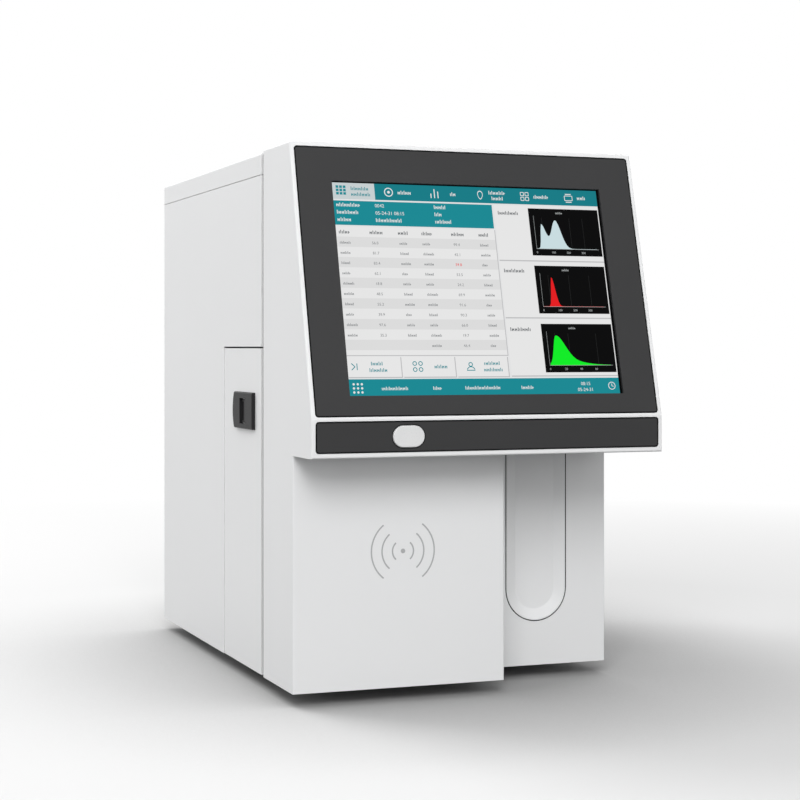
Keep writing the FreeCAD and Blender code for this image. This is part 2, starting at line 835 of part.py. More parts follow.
def side_door():
    tray = box(-body_half, -body_half + door_return, door_front_y, door_edge_y, base_z + line_gap, door_top)
    tray = round_edges(
        tray, Z_AXIS, door_corner,
        lambda edge: edge.BoundBox.XMax < -body_half + 0.01 and edge.BoundBox.YMin > door_edge_y - 1)
    open_x = -half + 20
    hollow = box(
        door_inside, open_x, door_front_y + door_skin, door_edge_y - door_skin,
        base_z + line_gap + door_skin, door_top - door_skin)
    slot = box(-half, door_inside + 1, slot_y0 + 0.4, slot_y1 - 0.4, slot_z0 + 0.4, slot_z1 - 0.4)
    tongue_slot = box(
        tongue_x - 1, tongue_x + tongue_thickness + 1, door_front_y - 1, door_front_y + door_skin + 1,
        slot_mid - tongue_room, slot_mid + tongue_room)
    knuckles = []
    windows = []
    for level in hinge_levels:
        z = base_z + level
        z_top = z + hinge_height
        windows.append(box(
            door_inside, open_x, door_edge_y - door_skin - 1, door_edge_y + 1, z - 1, z_top + 1))
        for z0, z1 in ((z - 6, z - fit_gap), (z_top + fit_gap, z_top + 6)):
            block = box(door_inside - stud_bite, hinge_x + 3.2, hinge_y - 4, door_edge_y - stud_bite, z0, z1)
            pin_hole = rod(hinge_pin_radius + run_gap, V(hinge_x, hinge_y, z0 - 1), Z_AXIS, z1 - z0 + 2)
            knuckles.append(cut(block, [pin_hole]))
    rails = [latch_rail(slot_mid + side * (tongue_half + fit_gap), side) for side in (-1, 1)]
    button_room = box(
        door_inside - 1, tongue_x - fit_gap - 0.01, slot_y0 - 0.4, slot_y1 + 0.4,
        slot_z0 - 0.1, slot_z1 + 0.1)
    ribs = [
        box(door_inside - stud_bite, door_inside + door_rib, door_front_y + 1, hinge_y - 8, z, z + 1.6)
        for z in (base_z + 60, base_z + 120, base_z + 150)]
    door = cut(tray, [hollow, slot, tongue_slot] + windows)
    export("side_door", fuse([door, cut(fuse(rails), [button_room])] + knuckles + ribs))


def hinge_brackets():
    """Gooseneck arms on the left panel, each with a barrel and a fixed pin."""
    arm = [(0, -3), (12, -3), (12, 19), (20, 19), (20, 22), (-hinge_reach, 22), (-hinge_reach, 12.5),
           (9, 12.5), (9, 1.5), (0, 1.5)]
    brackets = []
    for level in hinge_levels:
        z = base_z + level
        body = prism([V(hinge_x + x, hinge_y + y, z) for x, y in arm], V(0, 0, hinge_height))
        barrel = rod(hinge_barrel_radius, V(hinge_x, hinge_y, z), Z_AXIS, hinge_height)
        pin = rod(hinge_pin_radius, V(hinge_x, hinge_y, z - 5.5), Z_AXIS, hinge_height + 11)
        brackets.append(fuse([body, barrel, pin]))
    export("door_hinge_brackets", *brackets)


def latch():
    x0 = -body_half - latch_proud
    front = panel_y + latch_front
    rear = panel_y + latch_rear
    z0 = base_z + latch_bottom
    z1 = base_z + latch_top
    middle = V(x0, rear + latch_bow, (z0 + z1) / 2)
    corners = [V(x0, rear, z1), V(x0, front, z1), V(x0, front, z0), V(x0, rear, z0)]
    outline = Part.Wire(
        Part.makePolygon(corners).Edges + [Part.Arc(corners[3], middle, corners[0]).toShape()])
    plate_body = Part.Face(outline).extrude(V(latch_proud, 0, 0))
    outer_edges = [edge for edge in plate_body.Edges if edge.BoundBox.XMax < x0 + 0.01]
    plate_body = plate_body.makeChamfer(0.8, outer_edges)
    slot = box(x0 - 1, -body_half + 1, slot_y0, slot_y1, slot_z0, slot_z1)
    export("latch_escutcheon", cut(plate_body, [slot]))

    face_x = x0 + 1.8
    block_y0 = slot_y0 + button_clear
    block_y1 = slot_y1 - button_clear
    block_end = tongue_x - latch_travel - 2 * fit_gap
    block = box(face_x, block_end, block_y0, block_y1, slot_z0 + button_clear, slot_z1 - button_clear)
    grooves = [
        box(face_x - 1, face_x + 1.2, y, y + 3.6, slot_z0 + 2.5, slot_z1 - 2.5)
        for y in (slot_y0 + 2, slot_y1 - 5.6)]
    wedge_z = slot_mid - wedge_half
    wedge = prism([
        V(block_end - stud_bite, block_y0 + 3, wedge_z),
        V(block_end - stud_bite, block_y1, wedge_z),
        V(tongue_x, block_y1, wedge_z),
        V(tongue_x + wedge_length, block_y1 - wedge_length, wedge_z),
        V(tongue_x + wedge_length, block_y0 + 3, wedge_z)], V(0, 0, 2 * wedge_half))
    export("latch_button", fuse([cut(block, grooves), wedge]))

    bar = box(
        tongue_x, tongue_x + tongue_thickness, tongue_tip, slot_y1 + 12,
        slot_mid - tongue_half, slot_mid + tongue_half)
    rear_wall = block_y1 + 2 * fit_gap
    room_z = wedge_z - fit_gap
    window = prism([
        V(tongue_x - 1, slot_y0 - 1.5, room_z),
        V(tongue_x + wedge_length + 1, slot_y0 - 1.5, room_z),
        V(tongue_x + wedge_length + 1, rear_wall - wedge_length - 1, room_z),
        V(tongue_x, rear_wall, room_z),
        V(tongue_x - 1, rear_wall, room_z)], V(0, 0, 2 * (wedge_half + fit_gap)))
    tip = prism([
        V(tongue_x - 1, tongue_tip - 1, 0), V(tongue_x + 1.2, tongue_tip - 1, 0),
        V(tongue_x - 1, tongue_tip + 1.2, 0)], V(0, 0, shell_top))
    export("latch_tongue", cut(bar, [window, tip]))


# Sampling unit: a frame with two rods, a carriage that runs back, and the probe that runs down

frame_x = probe_x - frame_offset
rod_x = frame_x + rod_offset
carriage_plate_x = rod_x + carriage_plate_offset
z_drive_x = probe_x - z_drive_offset
carriage_front_y = probe_y + carriage_front
carriage_rear_y = probe_y + carriage_rear
frame_front_y = panel_y + 12
frame_rear_y = carriage_rear_y + y_travel + 10
frame_leg_y = body_y + 16
rod_z = [head_z + lower_rod_rise, head_z + upper_rod_rise]
y_screw_z = sum(rod_z) / 2
frame_top = rod_z[1] + frame_margin
frame_arm = rod_z[0] - frame_margin
wipe_z = head_z + wipe_rise
bottom_plate_z = wipe_z + wipe_height
top_plate_z = head_z + carriage_top_rise
z_block_top = top_plate_z - 12
z_block_bottom = z_block_top - z_block_height
z_rod_y = (probe_y + z_rod_setback, probe_y + z_rod_setback + z_rod_pitch)
z_screw_y = sum(z_rod_y) / 2
probe_tip = wipe_z + 2.5 + fit_gap
bath_top = head_z + 0.2
bath_bottom = bath_top - bath_depth - bath_floor
bath_y = [probe_y + y_travel - bath_pitch, probe_y + y_travel]


def sampling_frame():
    span = frame_rear_y - frame_front_y
    outline = [
        (frame_front_y, frame_arm), (frame_leg_y, frame_arm - 8), (frame_leg_y, floor_z),
        (frame_rear_y, floor_z), (frame_rear_y, frame_top), (frame_front_y, frame_top)]
    side = prism([V(frame_x, y, z) for y, z in outline], V(sheet, 0, 0))
    foot = box(frame_x - 14, frame_x + sheet, frame_leg_y, frame_rear_y, floor_z, floor_z + sheet)
    ends = [
        box(frame_x, rod_x + frame_margin, y, y + sheet, frame_arm, frame_top)
        for y in (frame_front_y, frame_rear_y - sheet)]
    opening = box(
        frame_x - 1, frame_x + sheet + 1, frame_leg_y + 25, frame_rear_y - 30, floor_z + 20, bath_bottom - 8)
    holes = [rod(rod_radius, V(rod_x, frame_front_y - 1, z), Y_AXIS, span + 2) for z in rod_z]
    holes.append(rod(screw_radius + run_gap, V(rod_x, frame_front_y - 1, y_screw_z), Y_AXIS, span + 2))
    export("sampling_frame", cut(fuse([side, foot] + ends), [round_edges(opening, X_AXIS, 8)] + holes))

    export("y_guide_rods", *[rod(rod_radius, V(rod_x, frame_front_y, z), Y_AXIS, span) for z in rod_z])
    export("y_motor", motor(V(rod_x, frame_rear_y, y_screw_z), Y_AXIS, small_motor_length))
    export("y_screw", rod(screw_radius, V(rod_x, frame_front_y, y_screw_z), Y_AXIS, span + 4))


def y_carriage():
    height = top_plate_z + plate - bottom_plate_z
    side = box(
        carriage_plate_x, carriage_plate_x + plate, carriage_front_y - 2, carriage_rear_y,
        bottom_plate_z, bottom_plate_z + height)
    blocks = [
        box(rod_x - 8, carriage_plate_x + 1, carriage_front_y, carriage_rear_y - 2, z - 9, z + 9)
        for z in rod_z + [y_screw_z]]
    right_x = z_drive_x + 13
    bottom = box(
        carriage_plate_x, right_x, probe_y - wipe_half, carriage_rear_y,
        bottom_plate_z, bottom_plate_z + plate)
    top = box(
        carriage_plate_x, right_x, carriage_front_y - 2, carriage_rear_y, top_plate_z, top_plate_z + plate)
    bore_y = carriage_front_y - 1
    bores = [rod(rod_radius + run_gap, V(rod_x, bore_y, z), Y_AXIS, carriage_rear) for z in rod_z]
    bores.append(rod(screw_radius + run_gap, V(rod_x, bore_y, y_screw_z), Y_AXIS, carriage_rear))
    bores.append(rod(3, V(probe_x, probe_y, bottom_plate_z - 1), Z_AXIS, plate + 2))
    for y in z_rod_y:
        bores.append(rod(z_rod_radius, V(z_drive_x, y, bottom_plate_z - 1), Z_AXIS, height + 2))
    bores.append(rod(screw_radius + run_gap, V(z_drive_x, z_screw_y, bottom_plate_z - 1), Z_AXIS, height + 2))
    export("y_carriage", cut(fuse([side, bottom, top] + blocks), bores))

    rods = [rod(z_rod_radius, V(z_drive_x, y, bottom_plate_z), Z_AXIS, height) for y in z_rod_y]
    export("z_guide_rods", *rods)
    export("z_motor", motor(V(z_drive_x, z_screw_y, bottom_plate_z + height), Z_AXIS, small_motor_length))
    export("z_screw", rod(screw_radius, V(z_drive_x, z_screw_y, bottom_plate_z), Z_AXIS, height + 4))

    wipe = slab(
        probe_x - wipe_half, probe_x + wipe_half, wipe_z, bottom_plate_z,
        probe_y - wipe_half, probe_y + wipe_half + 1, 2)
    bore = rod(probe_radius + 2 * run_gap, V(probe_x, probe_y, wipe_z - 1), Z_AXIS, wipe_height + 2)
    spigot = rod(1.5, V(probe_x, probe_y + wipe_half, bottom_plate_z - 5), Y_AXIS, 6)
    export("probe_wipe", fuse([cut(wipe, [bore]), spigot]))


def z_carriage():
    z0 = z_block_bottom
    block = box(z_drive_x - 6, z_drive_x + 8, carriage_front_y, carriage_rear_y - 1, z0, z_block_top)
    arm = box(probe_x - 4, probe_x + 4, probe_y - 5, carriage_front_y + 1, z0, z0 + 12)
    arm = round_edges(arm, Z_AXIS, 3, lambda edge: edge.BoundBox.YMax < probe_y)
    depth = z_block_height + 2
    bores = [rod(z_rod_radius + run_gap, V(z_drive_x, y, z0 - 1), Z_AXIS, depth) for y in z_rod_y]
    bores.append(rod(screw_radius + run_gap, V(z_drive_x, z_screw_y, z0 - 1), Z_AXIS, depth))
    bores.append(rod(probe_hub, V(probe_x, probe_y, z0 - 1), Z_AXIS, depth))
    export("z_carriage", cut(fuse([block, arm]), bores))

    top = z0 + 20
    needle = rod(probe_radius, V(probe_x, probe_y, probe_tip), Z_AXIS, top - probe_tip)
    hub = rod(probe_hub, V(probe_x, probe_y, z0 - 2), Z_AXIS, 18)
    lumen = rod(probe_bore, V(probe_x, probe_y, probe_tip - 1), Z_AXIS, top - probe_tip + 2)
    export("sample_probe", cut(fuse([needle, hub]), [lumen]))


def bath_block():
    middle = sum(bath_y) / 2
    block = box(
        frame_x + sheet, probe_x + bath_radius + bath_wall,
        bath_y[0] - 2 * bath_radius, bath_y[1] + 2 * bath_radius, bath_bottom, bath_top)
    block = round_edges(block, Z_AXIS, 3, lambda edge: edge.BoundBox.XMin > probe_x)
    floor = bath_bottom + bath_floor
    cups = []
    for y in bath_y:
        cone = Part.makeCone(2, bath_radius, bath_cone, V(probe_x, y, floor), Z_AXIS)
        cup = rod(bath_radius, V(probe_x, y, floor + bath_cone), Z_AXIS, bath_depth)
        drain = rod(bath_drain, V(probe_x, y, bath_bottom - 1), Z_AXIS, bath_floor + 10)
        cups.append(fuse([cone, cup, drain]))
    waist = box(
        probe_x - 14, probe_x + 30, middle - 8, middle + 8, bath_bottom - 1, bath_top - 20)
    export("bath_block", cut(block, cups + [round_edges(waist, Z_AXIS, 4)]))


# Fluid compartment: a bulkhead with the syringes, the valves and the peristaltic pump

bulkhead_x = -body_half + service_depth
bulkhead_front = body_y + bulkhead_setback
bulkhead_rear = rear_y - bulkhead_clear
shelf_y0 = bulkhead_front + fit_gap
shelf_y1 = shelf_y0 + syringe_width
shelf_z = base_z + syringe_level
top_shelf_z = shelf_z + syringe_height
syringe_x = bulkhead_x - syringe_reach
syringe_y = (shelf_y0 + shelf_y1) / 2
barrel_y = (syringe_y - barrel_offset, syringe_y + barrel_offset)
barrel_z = top_shelf_z - barrel_length
neck_z = top_shelf_z + plate + neck_height
guide_x = syringe_x + guide_offset
drive_z = barrel_z - 8
pump_centre_y = panel_y + pump_y
pump_centre_z = base_z + pump_level
loop_x = bulkhead_x - pump_depth + 8.75
loop_y = (pump_centre_y - loop_orbit, pump_centre_y + loop_orbit)
manifold_y = loop_y[0] - (valve_count - 1.5) * valve_pitch
manifold_z = base_z + valve_level
manifold_top = manifold_z + valve_height + 4
port_x = bulkhead_x - manifold_depth / 2
port_y = [manifold_y + (index + 0.5) * valve_pitch for index in range(valve_count)]
port_z = manifold_top - port_depth


def service_bulkhead():
    through = (bulkhead_x - 1, bulkhead_x + sheet + 1)
    skin = box(
        bulkhead_x, bulkhead_x + sheet, bulkhead_front, bulkhead_rear, floor_z, base_z + bulkhead_height)
    foot = box(
        bulkhead_x, bulkhead_x + bulkhead_foot, bulkhead_front, bulkhead_rear, floor_z, floor_z + sheet)
    shaft_hole = rod(4, V(through[0], pump_centre_y, pump_centre_z), X_AXIS, 4)
    window_z = base_z + 240
    openings = [
        round_edges(box(*through, y, y + 40, window_z, window_z + 50), X_AXIS, 8)
        for y in (bulkhead_front + 30, bulkhead_front + 120)]
    tube_pass = round_edges(
        box(*through, door_rear_y + 12, door_rear_y + 40, base_z + 70, base_z + 110), X_AXIS, 8)
    export("service_bulkhead", cut(fuse([skin, foot]), [shaft_hole, tube_pass] + openings))


def valves():
    face_x = bulkhead_x - manifold_depth
    block = box(
        face_x, bulkhead_x, manifold_y, manifold_y + valve_count * valve_pitch, manifold_z, manifold_top)
    ports = [rod(port_radius, V(port_x, y, port_z), Z_AXIS, port_depth + 1) for y in port_y]
    export("valve_manifold", cut(block, ports))

    z0 = manifold_z + 2
    bodies = []
    for y in port_y:
        can = box(
            face_x - valve_length, face_x, y - valve_width / 2, y + valve_width / 2, z0, z0 + valve_height)
        can = round_edges(can, X_AXIS, 1.5)
        stub = rod(3.2, V(face_x - valve_length - 2, y, z0 + valve_height / 2), X_AXIS, 3)
        bodies.append(fuse([can, stub]))
    export("solenoid_valves", *bodies)


def syringe_unit():
    shelf_x = syringe_x - shelf_reach
    back = box(bulkhead_x - sheet, bulkhead_x, shelf_y0, shelf_y1, shelf_z, top_shelf_z + plate)
    shelves = [box(shelf_x, bulkhead_x, shelf_y0, shelf_y1, z, z + plate) for z in (shelf_z, top_shelf_z)]
    guide = rod(guide_radius, V(guide_x, syringe_y, shelf_z), Z_AXIS, syringe_height + 1)
    screw_hole = rod(
        screw_radius + run_gap, V(syringe_x, syringe_y, shelf_z - 1), Z_AXIS, syringe_height + plate + 2)
    ports = [
        rod(barrel_neck + run_gap, V(syringe_x, y, top_shelf_z - 1), Z_AXIS, plate + 2) for y in barrel_y]
    export("syringe_frame", cut(fuse([back, guide] + shelves), [screw_hole] + ports))

    barrels = []
    for y, bore in zip(barrel_y, barrel_bores):
        outer = rod(bore + barrel_wall, V(syringe_x, y, barrel_z), Z_AXIS, barrel_length)
        collar = rod(bore + barrel_wall + 1.5, V(syringe_x, y, barrel_z), Z_AXIS, 3)
        neck = rod(barrel_neck, V(syringe_x, y, top_shelf_z - 1), Z_AXIS, neck_z - top_shelf_z + 1)
        chamber = rod(bore, V(syringe_x, y, barrel_z - 1), Z_AXIS, barrel_length - 1)
        lumen = rod(barrel_neck / 2, V(syringe_x, y, barrel_z), Z_AXIS, neck_z - barrel_z + 1)
        barrels.append(cut(fuse([outer, collar, neck]), [chamber, lumen]))
    export("syringe_barrels", *barrels)

    export("syringe_motor", motor(V(syringe_x, syringe_y, shelf_z), V(0, 0, -1), small_motor_length))
    screw_foot = V(syringe_x, syringe_y, shelf_z - 4)
    export("syringe_screw", rod(screw_radius, screw_foot, Z_AXIS, syringe_height + 5))

    drive = box(syringe_x - 9, guide_x + 5, barrel_y[0] - 8, barrel_y[1] + 8, drive_z, drive_z + 7)
    drive = round_edges(drive, Z_AXIS, 3)
    drive = cut(drive, [
        rod(screw_radius + run_gap, V(syringe_x, syringe_y, drive_z - 1), Z_AXIS, 9),
        rod(guide_radius + run_gap, V(guide_x, syringe_y, drive_z - 1), Z_AXIS, 9)])
    plungers = []
    for y, bore in zip(barrel_y, barrel_bores):
        plungers.append(rod(bore * 0.4, V(syringe_x, y, drive_z + 6), Z_AXIS, barrel_length - 10))
        plungers.append(rod(bore - run_gap, V(syringe_x, y, top_shelf_z - 12), Z_AXIS, 9))
    export("syringe_drive", fuse([drive] + plungers))


def peristaltic_pump():
    x0 = bulkhead_x - pump_depth
    centre = V(x0, pump_centre_y, pump_centre_z)
    cup = rod(pump_radius, centre, X_AXIS, pump_depth)
    bore = rod(pump_radius - pump_wall, centre - X_AXIS, X_AXIS, pump_depth + 1 - pump_wall)
    shaft_hole = rod(3 + run_gap, centre, X_AXIS, pump_depth + 1)
    ears = round_edges(
        box(bulkhead_x - 3, bulkhead_x, pump_centre_y - pump_radius, pump_centre_y + pump_radius,
            pump_centre_z - pump_radius - 5, pump_centre_z + pump_radius + 5), X_AXIS, 4)
    slot_half = line_radius + 0.4
    slot_foot = pump_centre_z - pump_radius - 1
    slots = [
        box(x0 - 1, loop_x + slot_half, y - slot_half, y + slot_half, slot_foot, pump_centre_z)
        for y in loop_y]
    housing = cut(fuse([cup, ears]), [bore, shaft_hole] + slots)
    drive = rod(14, centre + X_AXIS * (pump_depth + sheet), X_AXIS, 30)
    drive = cut(drive, [rod(4, centre + X_AXIS * pump_depth, X_AXIS, 8)])
    export("peristaltic_pump", housing, drive)

    rotor_x = x0 + 1
    discs = [
        rod(10, V(x, pump_centre_y, pump_centre_z), X_AXIS, 2.5) for x in (rotor_x, rotor_x + pump_depth - 7)]
    shaft = rod(3, V(rotor_x, pump_centre_y, pump_centre_z), X_AXIS, pump_depth + 6)
    rollers = []
    for index in range(3):
        angle = math.radians(90 + index * 120)
        y = pump_centre_y + roller_orbit * math.cos(angle)
        z = pump_centre_z + roller_orbit * math.sin(angle)
        rollers.append(rod(roller_radius, V(rotor_x, y, z), X_AXIS, pump_depth - 4.5))
    export("pump_rotor", fuse([shaft] + discs + rollers))


# Vacuum side, on the floor behind the bulkhead

vacuum_x = bulkhead_x + pump_offset
pump_stub_x = vacuum_x + pump_head_length / 2
pump_places = [door_rear_y + pump_setback, door_rear_y + pump_setback + pump_spacing]
pump_stub_z = floor_z + pump_head_height - 1 + stub_height
chamber_x = frame_x - chamber_offset
chamber_y = seam_y + chamber_setback
chamber_top = floor_z + chamber_height + chamber_lid
chamber_stub_z = chamber_top - 1 + stub_height
chamber_stub_offset = stub_offset + 2


def pumps_and_chamber():
    motor_x = vacuum_x + pump_head_length
    end_x = motor_x + pump_motor_length
    pumps = []
    for y in pump_places:
        width = pump_width / 2
        base = box(vacuum_x, end_x, y - width - 1, y + width + 1, floor_z, floor_z + pump_foot)
        body = rod(pump_motor_radius, V(motor_x, y, floor_z + pump_motor_rise), X_AXIS, pump_motor_length)
        head = box(vacuum_x, motor_x, y - width, y + width, floor_z, floor_z + pump_head_height)
        stubs = [
            rod(stub_radius, V(pump_stub_x, y + dy, pump_stub_z - stub_height), Z_AXIS, stub_height)
            for dy in (-stub_offset, stub_offset)]
        pumps.append(fuse([base, body, round_edges(head, X_AXIS, 3)] + stubs))
    export("diaphragm_pumps", *pumps)

    foot = V(chamber_x, chamber_y, floor_z)
    can = rod(chamber_radius, foot, Z_AXIS, chamber_height)
    lid = rod(chamber_radius + chamber_rim, foot + Z_AXIS * chamber_height, Z_AXIS, chamber_lid)
    base = rod(chamber_radius + chamber_rim, foot, Z_AXIS, 4)
    hollow = rod(chamber_radius - chamber_wall, foot + Z_AXIS * 4, Z_AXIS, chamber_height - 4)
    stubs = [
        rod(stub_radius, V(chamber_x + dx, chamber_y, chamber_top - 1), Z_AXIS, stub_height)
        for dx in (-chamber_stub_offset, chamber_stub_offset)]
    export("vacuum_chamber", cut(fuse([can, lid, base] + stubs), [hollow]))


# Rear side and electronics

def fan():
    front = rear_skin - fan_depth
    half_fan = fan_size / 2
    arm = 1.5
    frame = slab(fan_x - half_fan, fan_x + half_fan, fan_z - half_fan, fan_z + half_fan, front, rear_skin, 4)
    ring = rod(half_fan - fan_wall, V(fan_x, front - 1, fan_z), Y_AXIS, fan_depth + 2)
    hub = rod(fan_hub, V(fan_x, front, fan_z), Y_AXIS, 2)
    reach = half_fan - 1
    arms = [
        box(fan_x - reach, fan_x + reach, front, front + 2, fan_z - arm, fan_z + arm),
        box(fan_x - arm, fan_x + arm, front, front + 2, fan_z - reach, fan_z + reach)]
    pin = rod(2, V(fan_x, front + 1, fan_z), Y_AXIS, 8)
    export("fan_frame", fuse([cut(frame, [ring]), hub, pin] + arms))

    hub_y = front + 2 + fit_gap
    pin_bore = rod(2 + run_gap, V(fan_x, hub_y - 1, fan_z), Y_AXIS, 8.5)
    rotor_hub = cut(rod(fan_hub, V(fan_x, hub_y, fan_z), Y_AXIS, 10), [pin_bore])
    root = fan_hub - 0.8
    tip = half_fan - fan_wall - 1
    chord = 9.5
    blades = []
    for index in range(fan_blades):
        blade = Part.makeBox(1.2, chord, tip - root, V(-0.6, -chord / 2, root))
        blade.rotate(V(0, 0, 0), Z_AXIS, blade_turn)
        blade.rotate(V(0, 0, 0), Y_AXIS, index * 360 / fan_blades)
        blade.translate(V(fan_x, hub_y + 5.5, fan_z))
        blades.append(blade)
    export("fan_rotor", fuse([rotor_hub] + blades))

    wire = 2.2
    rings = []
    for radius in (7, 14, 21, 28):
        rings.append(cut(
            rod(radius + 1, V(fan_x, panel_face, fan_z), Y_AXIS, wire),
            [rod(radius - 1, V(fan_x, panel_face - 1, fan_z), Y_AXIS, wire + 2)]))
    bars = []
    for angle in (45, 135, 225, 315):
        bar = Part.makeBox(2, wire, half_fan + 6, V(-1, 0, 4))
        bar.rotate(V(0, 0, 0), Y_AXIS, angle)
        bar.translate(V(fan_x, panel_face, fan_z))
        bars.append(bar)
    centre = rod(6, V(fan_x, panel_face, fan_z), Y_AXIS, wire)
    export("fan_grille", fuse(rings + bars + [centre]))


def inlet_and_switch():
    y0 = rear_y - inlet_depth
    z = inlet_z
    rocker_y = rear_y - rocker_setback
    rocker_z = z - 21.5
    flange = slab(inlet_x - 16, inlet_x + 16, z - 37, z + 15, panel_face, panel_face + 3, 3)
    body = box(inlet_x - 13.7, inlet_x + 13.7, y0, panel_face + 1, z - 33.7, z + 11.7)
    mouth = slab(inlet_x - 12, inlet_x + 12, z - 8, z + 8, rear_y - 18, rear_y + 8, 4)
    switch_room = box(inlet_x - 7, inlet_x + 7, rear_y - 14, rear_y + 8, rocker_z - 9.5, rocker_z + 9.5)
    blades = [
        box(inlet_x + dx - 1, inlet_x + dx + 1, rear_y - 19, rear_y - 3, z + dz - 2, z + dz + 2)
        for dx, dz in ((-7, -1.5), (0, 2.5), (7, -1.5))]
    tabs = [box(inlet_x + dx - 3, inlet_x + dx + 3, y0 - 8, y0 + 1, z - 10, z - 9) for dx in (-7, 7)]
    axle = rod(1.5, V(inlet_x - 8, rocker_y, rocker_z), X_AXIS, 16)
    housing = cut(fuse([flange, body]), [mouth, switch_room])
    export("mains_inlet", fuse([housing, axle] + blades + tabs))

    outline = [(-rocker_depth, -8.9), (3.4, -8.9), (1.4, 0), (3.4, 8.9), (-rocker_depth, 8.9)]
    rocker = prism([V(-6.6, dy, dz) for dy, dz in outline], V(13.2, 0, 0))
    rocker = cut(rocker, [rod(1.5 + run_gap, V(-8, 0, 0), X_AXIS, 16)])
    rocker.rotate(V(0, 0, 0), X_AXIS, rocker_tilt)
    rocker.translate(V(inlet_x, rocker_y, rocker_z))
    export("rocker_switch", rocker)


def rear_sockets():
    x = socket_x
    shells = []
    for width, height, z in socket_sizes:
        body = box(
            x - width / 2 + fit_gap, x + width / 2 - fit_gap, rear_y - 22, rear_y + 0.5,
            z - height / 2 + fit_gap, z + height / 2 - fit_gap)
        collar = box(
            x - width / 2 - 2, x + width / 2 + 2, rear_skin - 2, rear_skin,
            z - height / 2 - 1.5, z + height / 2 + 1.5)
        shells.append(fuse([body, collar]))
    lan_z, usb_z, serial_z = [size[2] for size in socket_sizes]
    out = rear_y + 1
    lan = cut(shells[0], [box(x - 5.9, x + 5.9, rear_y - 14, out, lan_z - 4.2, lan_z + 4.2)])
    usb = cut(shells[1], [
        box(x - 6.2, x + 6.2, rear_y - 14, out, usb_z + dz - 2.5, usb_z + dz + 2.5) for dz in (-3.8, 3.8)])
    serial = cut(shells[2], [box(x - 4.2, x + 4.2, rear_y - 5, out, serial_z - 9, serial_z + 9)])
    export("io_connectors", lan, usb, serial)


def fluid_fittings():
    fittings = []
    for x in fitting_places:
        stem = rod(4, V(x, rear_y - 18, fitting_z), Y_AXIS, 18)
        flange = rod(7, V(x, panel_face, fitting_z), Y_AXIS, spigot_flange)
        nut = rod(6.4, V(x, rear_skin - 4, fitting_z), Y_AXIS, 4)
        spigot = rod(spigot_radius, V(x, rear_y - 2, fitting_z), Y_AXIS, fitting_reach + 2)
        tail = rod(tail_radius, V(x, rear_y - tail_depth, fitting_z), Y_AXIS, 12)
        lumen = rod(1.4, V(x, rear_y - tail_depth - 1, fitting_z), Y_AXIS, tail_depth + fitting_reach + 2)
        fittings.append(cut(fuse([stem, flange, nut, spigot, tail]), [lumen]))
    export("fluid_fittings", *fittings)


def electronics():
    x1 = inside - supply_inset
    x0 = x1 - supply_width
    y1 = rear_y - supply_rear
    y0 = y1 - supply_depth
    z0 = floor_z + supply_foot - 1
    z1 = z0 + supply_height
    wall = bracket_sheet
    feet = [
        rod(3, V(x, y, floor_z), Z_AXIS, supply_foot) for x in (x0 + 6, x1 - 6) for y in (y0 + 6, y1 - 6)]
    case = box(x0, x1, y0, y1, z0, z1)
    hollow = box(x0 + wall, x1 - wall, y0 + wall, y1 - wall, z0 + wall, z1 - wall)
    slots = []
    for index in range(9):
        x = x0 + 14 + index * 9
        slots.append(box(x, x + 4, y0 + 14, y1 - 14, z1 - 2, z1 + 1))
    export("power_supply", fuse([cut(case, [hollow] + slots)] + feet))

    back = main_board_x - board_sheet + 0.1
    mid_y = sum(main_board_y) / 2
    mid_z = sum(main_board_z) / 2
    board = box(main_board_x - board_sheet, main_board_x, *main_board_y, *main_board_z)
    blocks = [
        box(main_board_x - 5, back, mid_y - 20, mid_y + 20, mid_z - 20, mid_z + 20),
        box(main_board_x - 10, back, mid_y - 60, mid_y - 35, mid_z + 34, mid_z + 44),
        box(main_board_x - 10, back, mid_y + 20, mid_y + 55, mid_z - 58, mid_z - 48)]
    cans = [rod(5, V(main_board_x - 14, mid_y + dy, mid_z + 30), X_AXIS, 13) for dy in (36, 50)]
    export("main_board", fuse([board] + blocks + cans))


# Tubing: straight runs with tangent arcs, each from one port or spigot to the next

tail_end = rear_y - tail_depth


def reagent_lines():
    """From the first two valves along the bulkhead to the first two spigots."""
    run_x = bulkhead_x - line_radius - 0.6
    turns = ((12, 26), (18, 16))
    lines = []
    for (rise, setback), y, x in zip(turns, port_y, fitting_places):
        z = port_z + rise
        lines.append(tube([
            V(port_x, y, port_z), V(port_x, y, z), V(run_x, y + 10, z), V(run_x, bulkhead_rear - setback, z),
            V(x, bulkhead_rear - setback + 18, fitting_z), V(x, tail_end, fitting_z)], line_radius))
    return lines


def syringe_lines():
    """From the necks of the syringes over the shelf and down to the third and fourth valves."""
    drop_y = shelf_y1 + 3.9
    turns = ((19, 8.5, 22), (12, 3.5, 26))
    lines = []
    for (rise, reach, low), barrel, y in zip(turns, barrel_y, port_y[2:4]):
        top = neck_z + rise
        drop_x = syringe_x - reach
        lines.append(tube([
            V(syringe_x, barrel, neck_z), V(syringe_x, barrel, top), V(drop_x, drop_y, top),
            V(drop_x, drop_y, port_z + low), V(port_x, y, port_z + 13), V(port_x, y, port_z)], line_radius))
    return lines


def pump_loop():
    """From the fifth valve round the pump's rollers to the sixth."""
    top = pump_centre_z + loop_orbit
    return tube([
        V(port_x, loop_y[0], port_z), V(port_x, loop_y[0], port_z + 18), V(loop_x, loop_y[0], port_z + 28),
        V(loop_x, loop_y[0], top), V(loop_x, loop_y[1], top), V(loop_x, loop_y[1], port_z + 36),
        V(port_x, port_y[5], port_z + 18), V(port_x, port_y[5], port_z)], line_radius,
        [bend_radius, bend_radius, loop_orbit, loop_orbit, bend_radius, bend_radius])


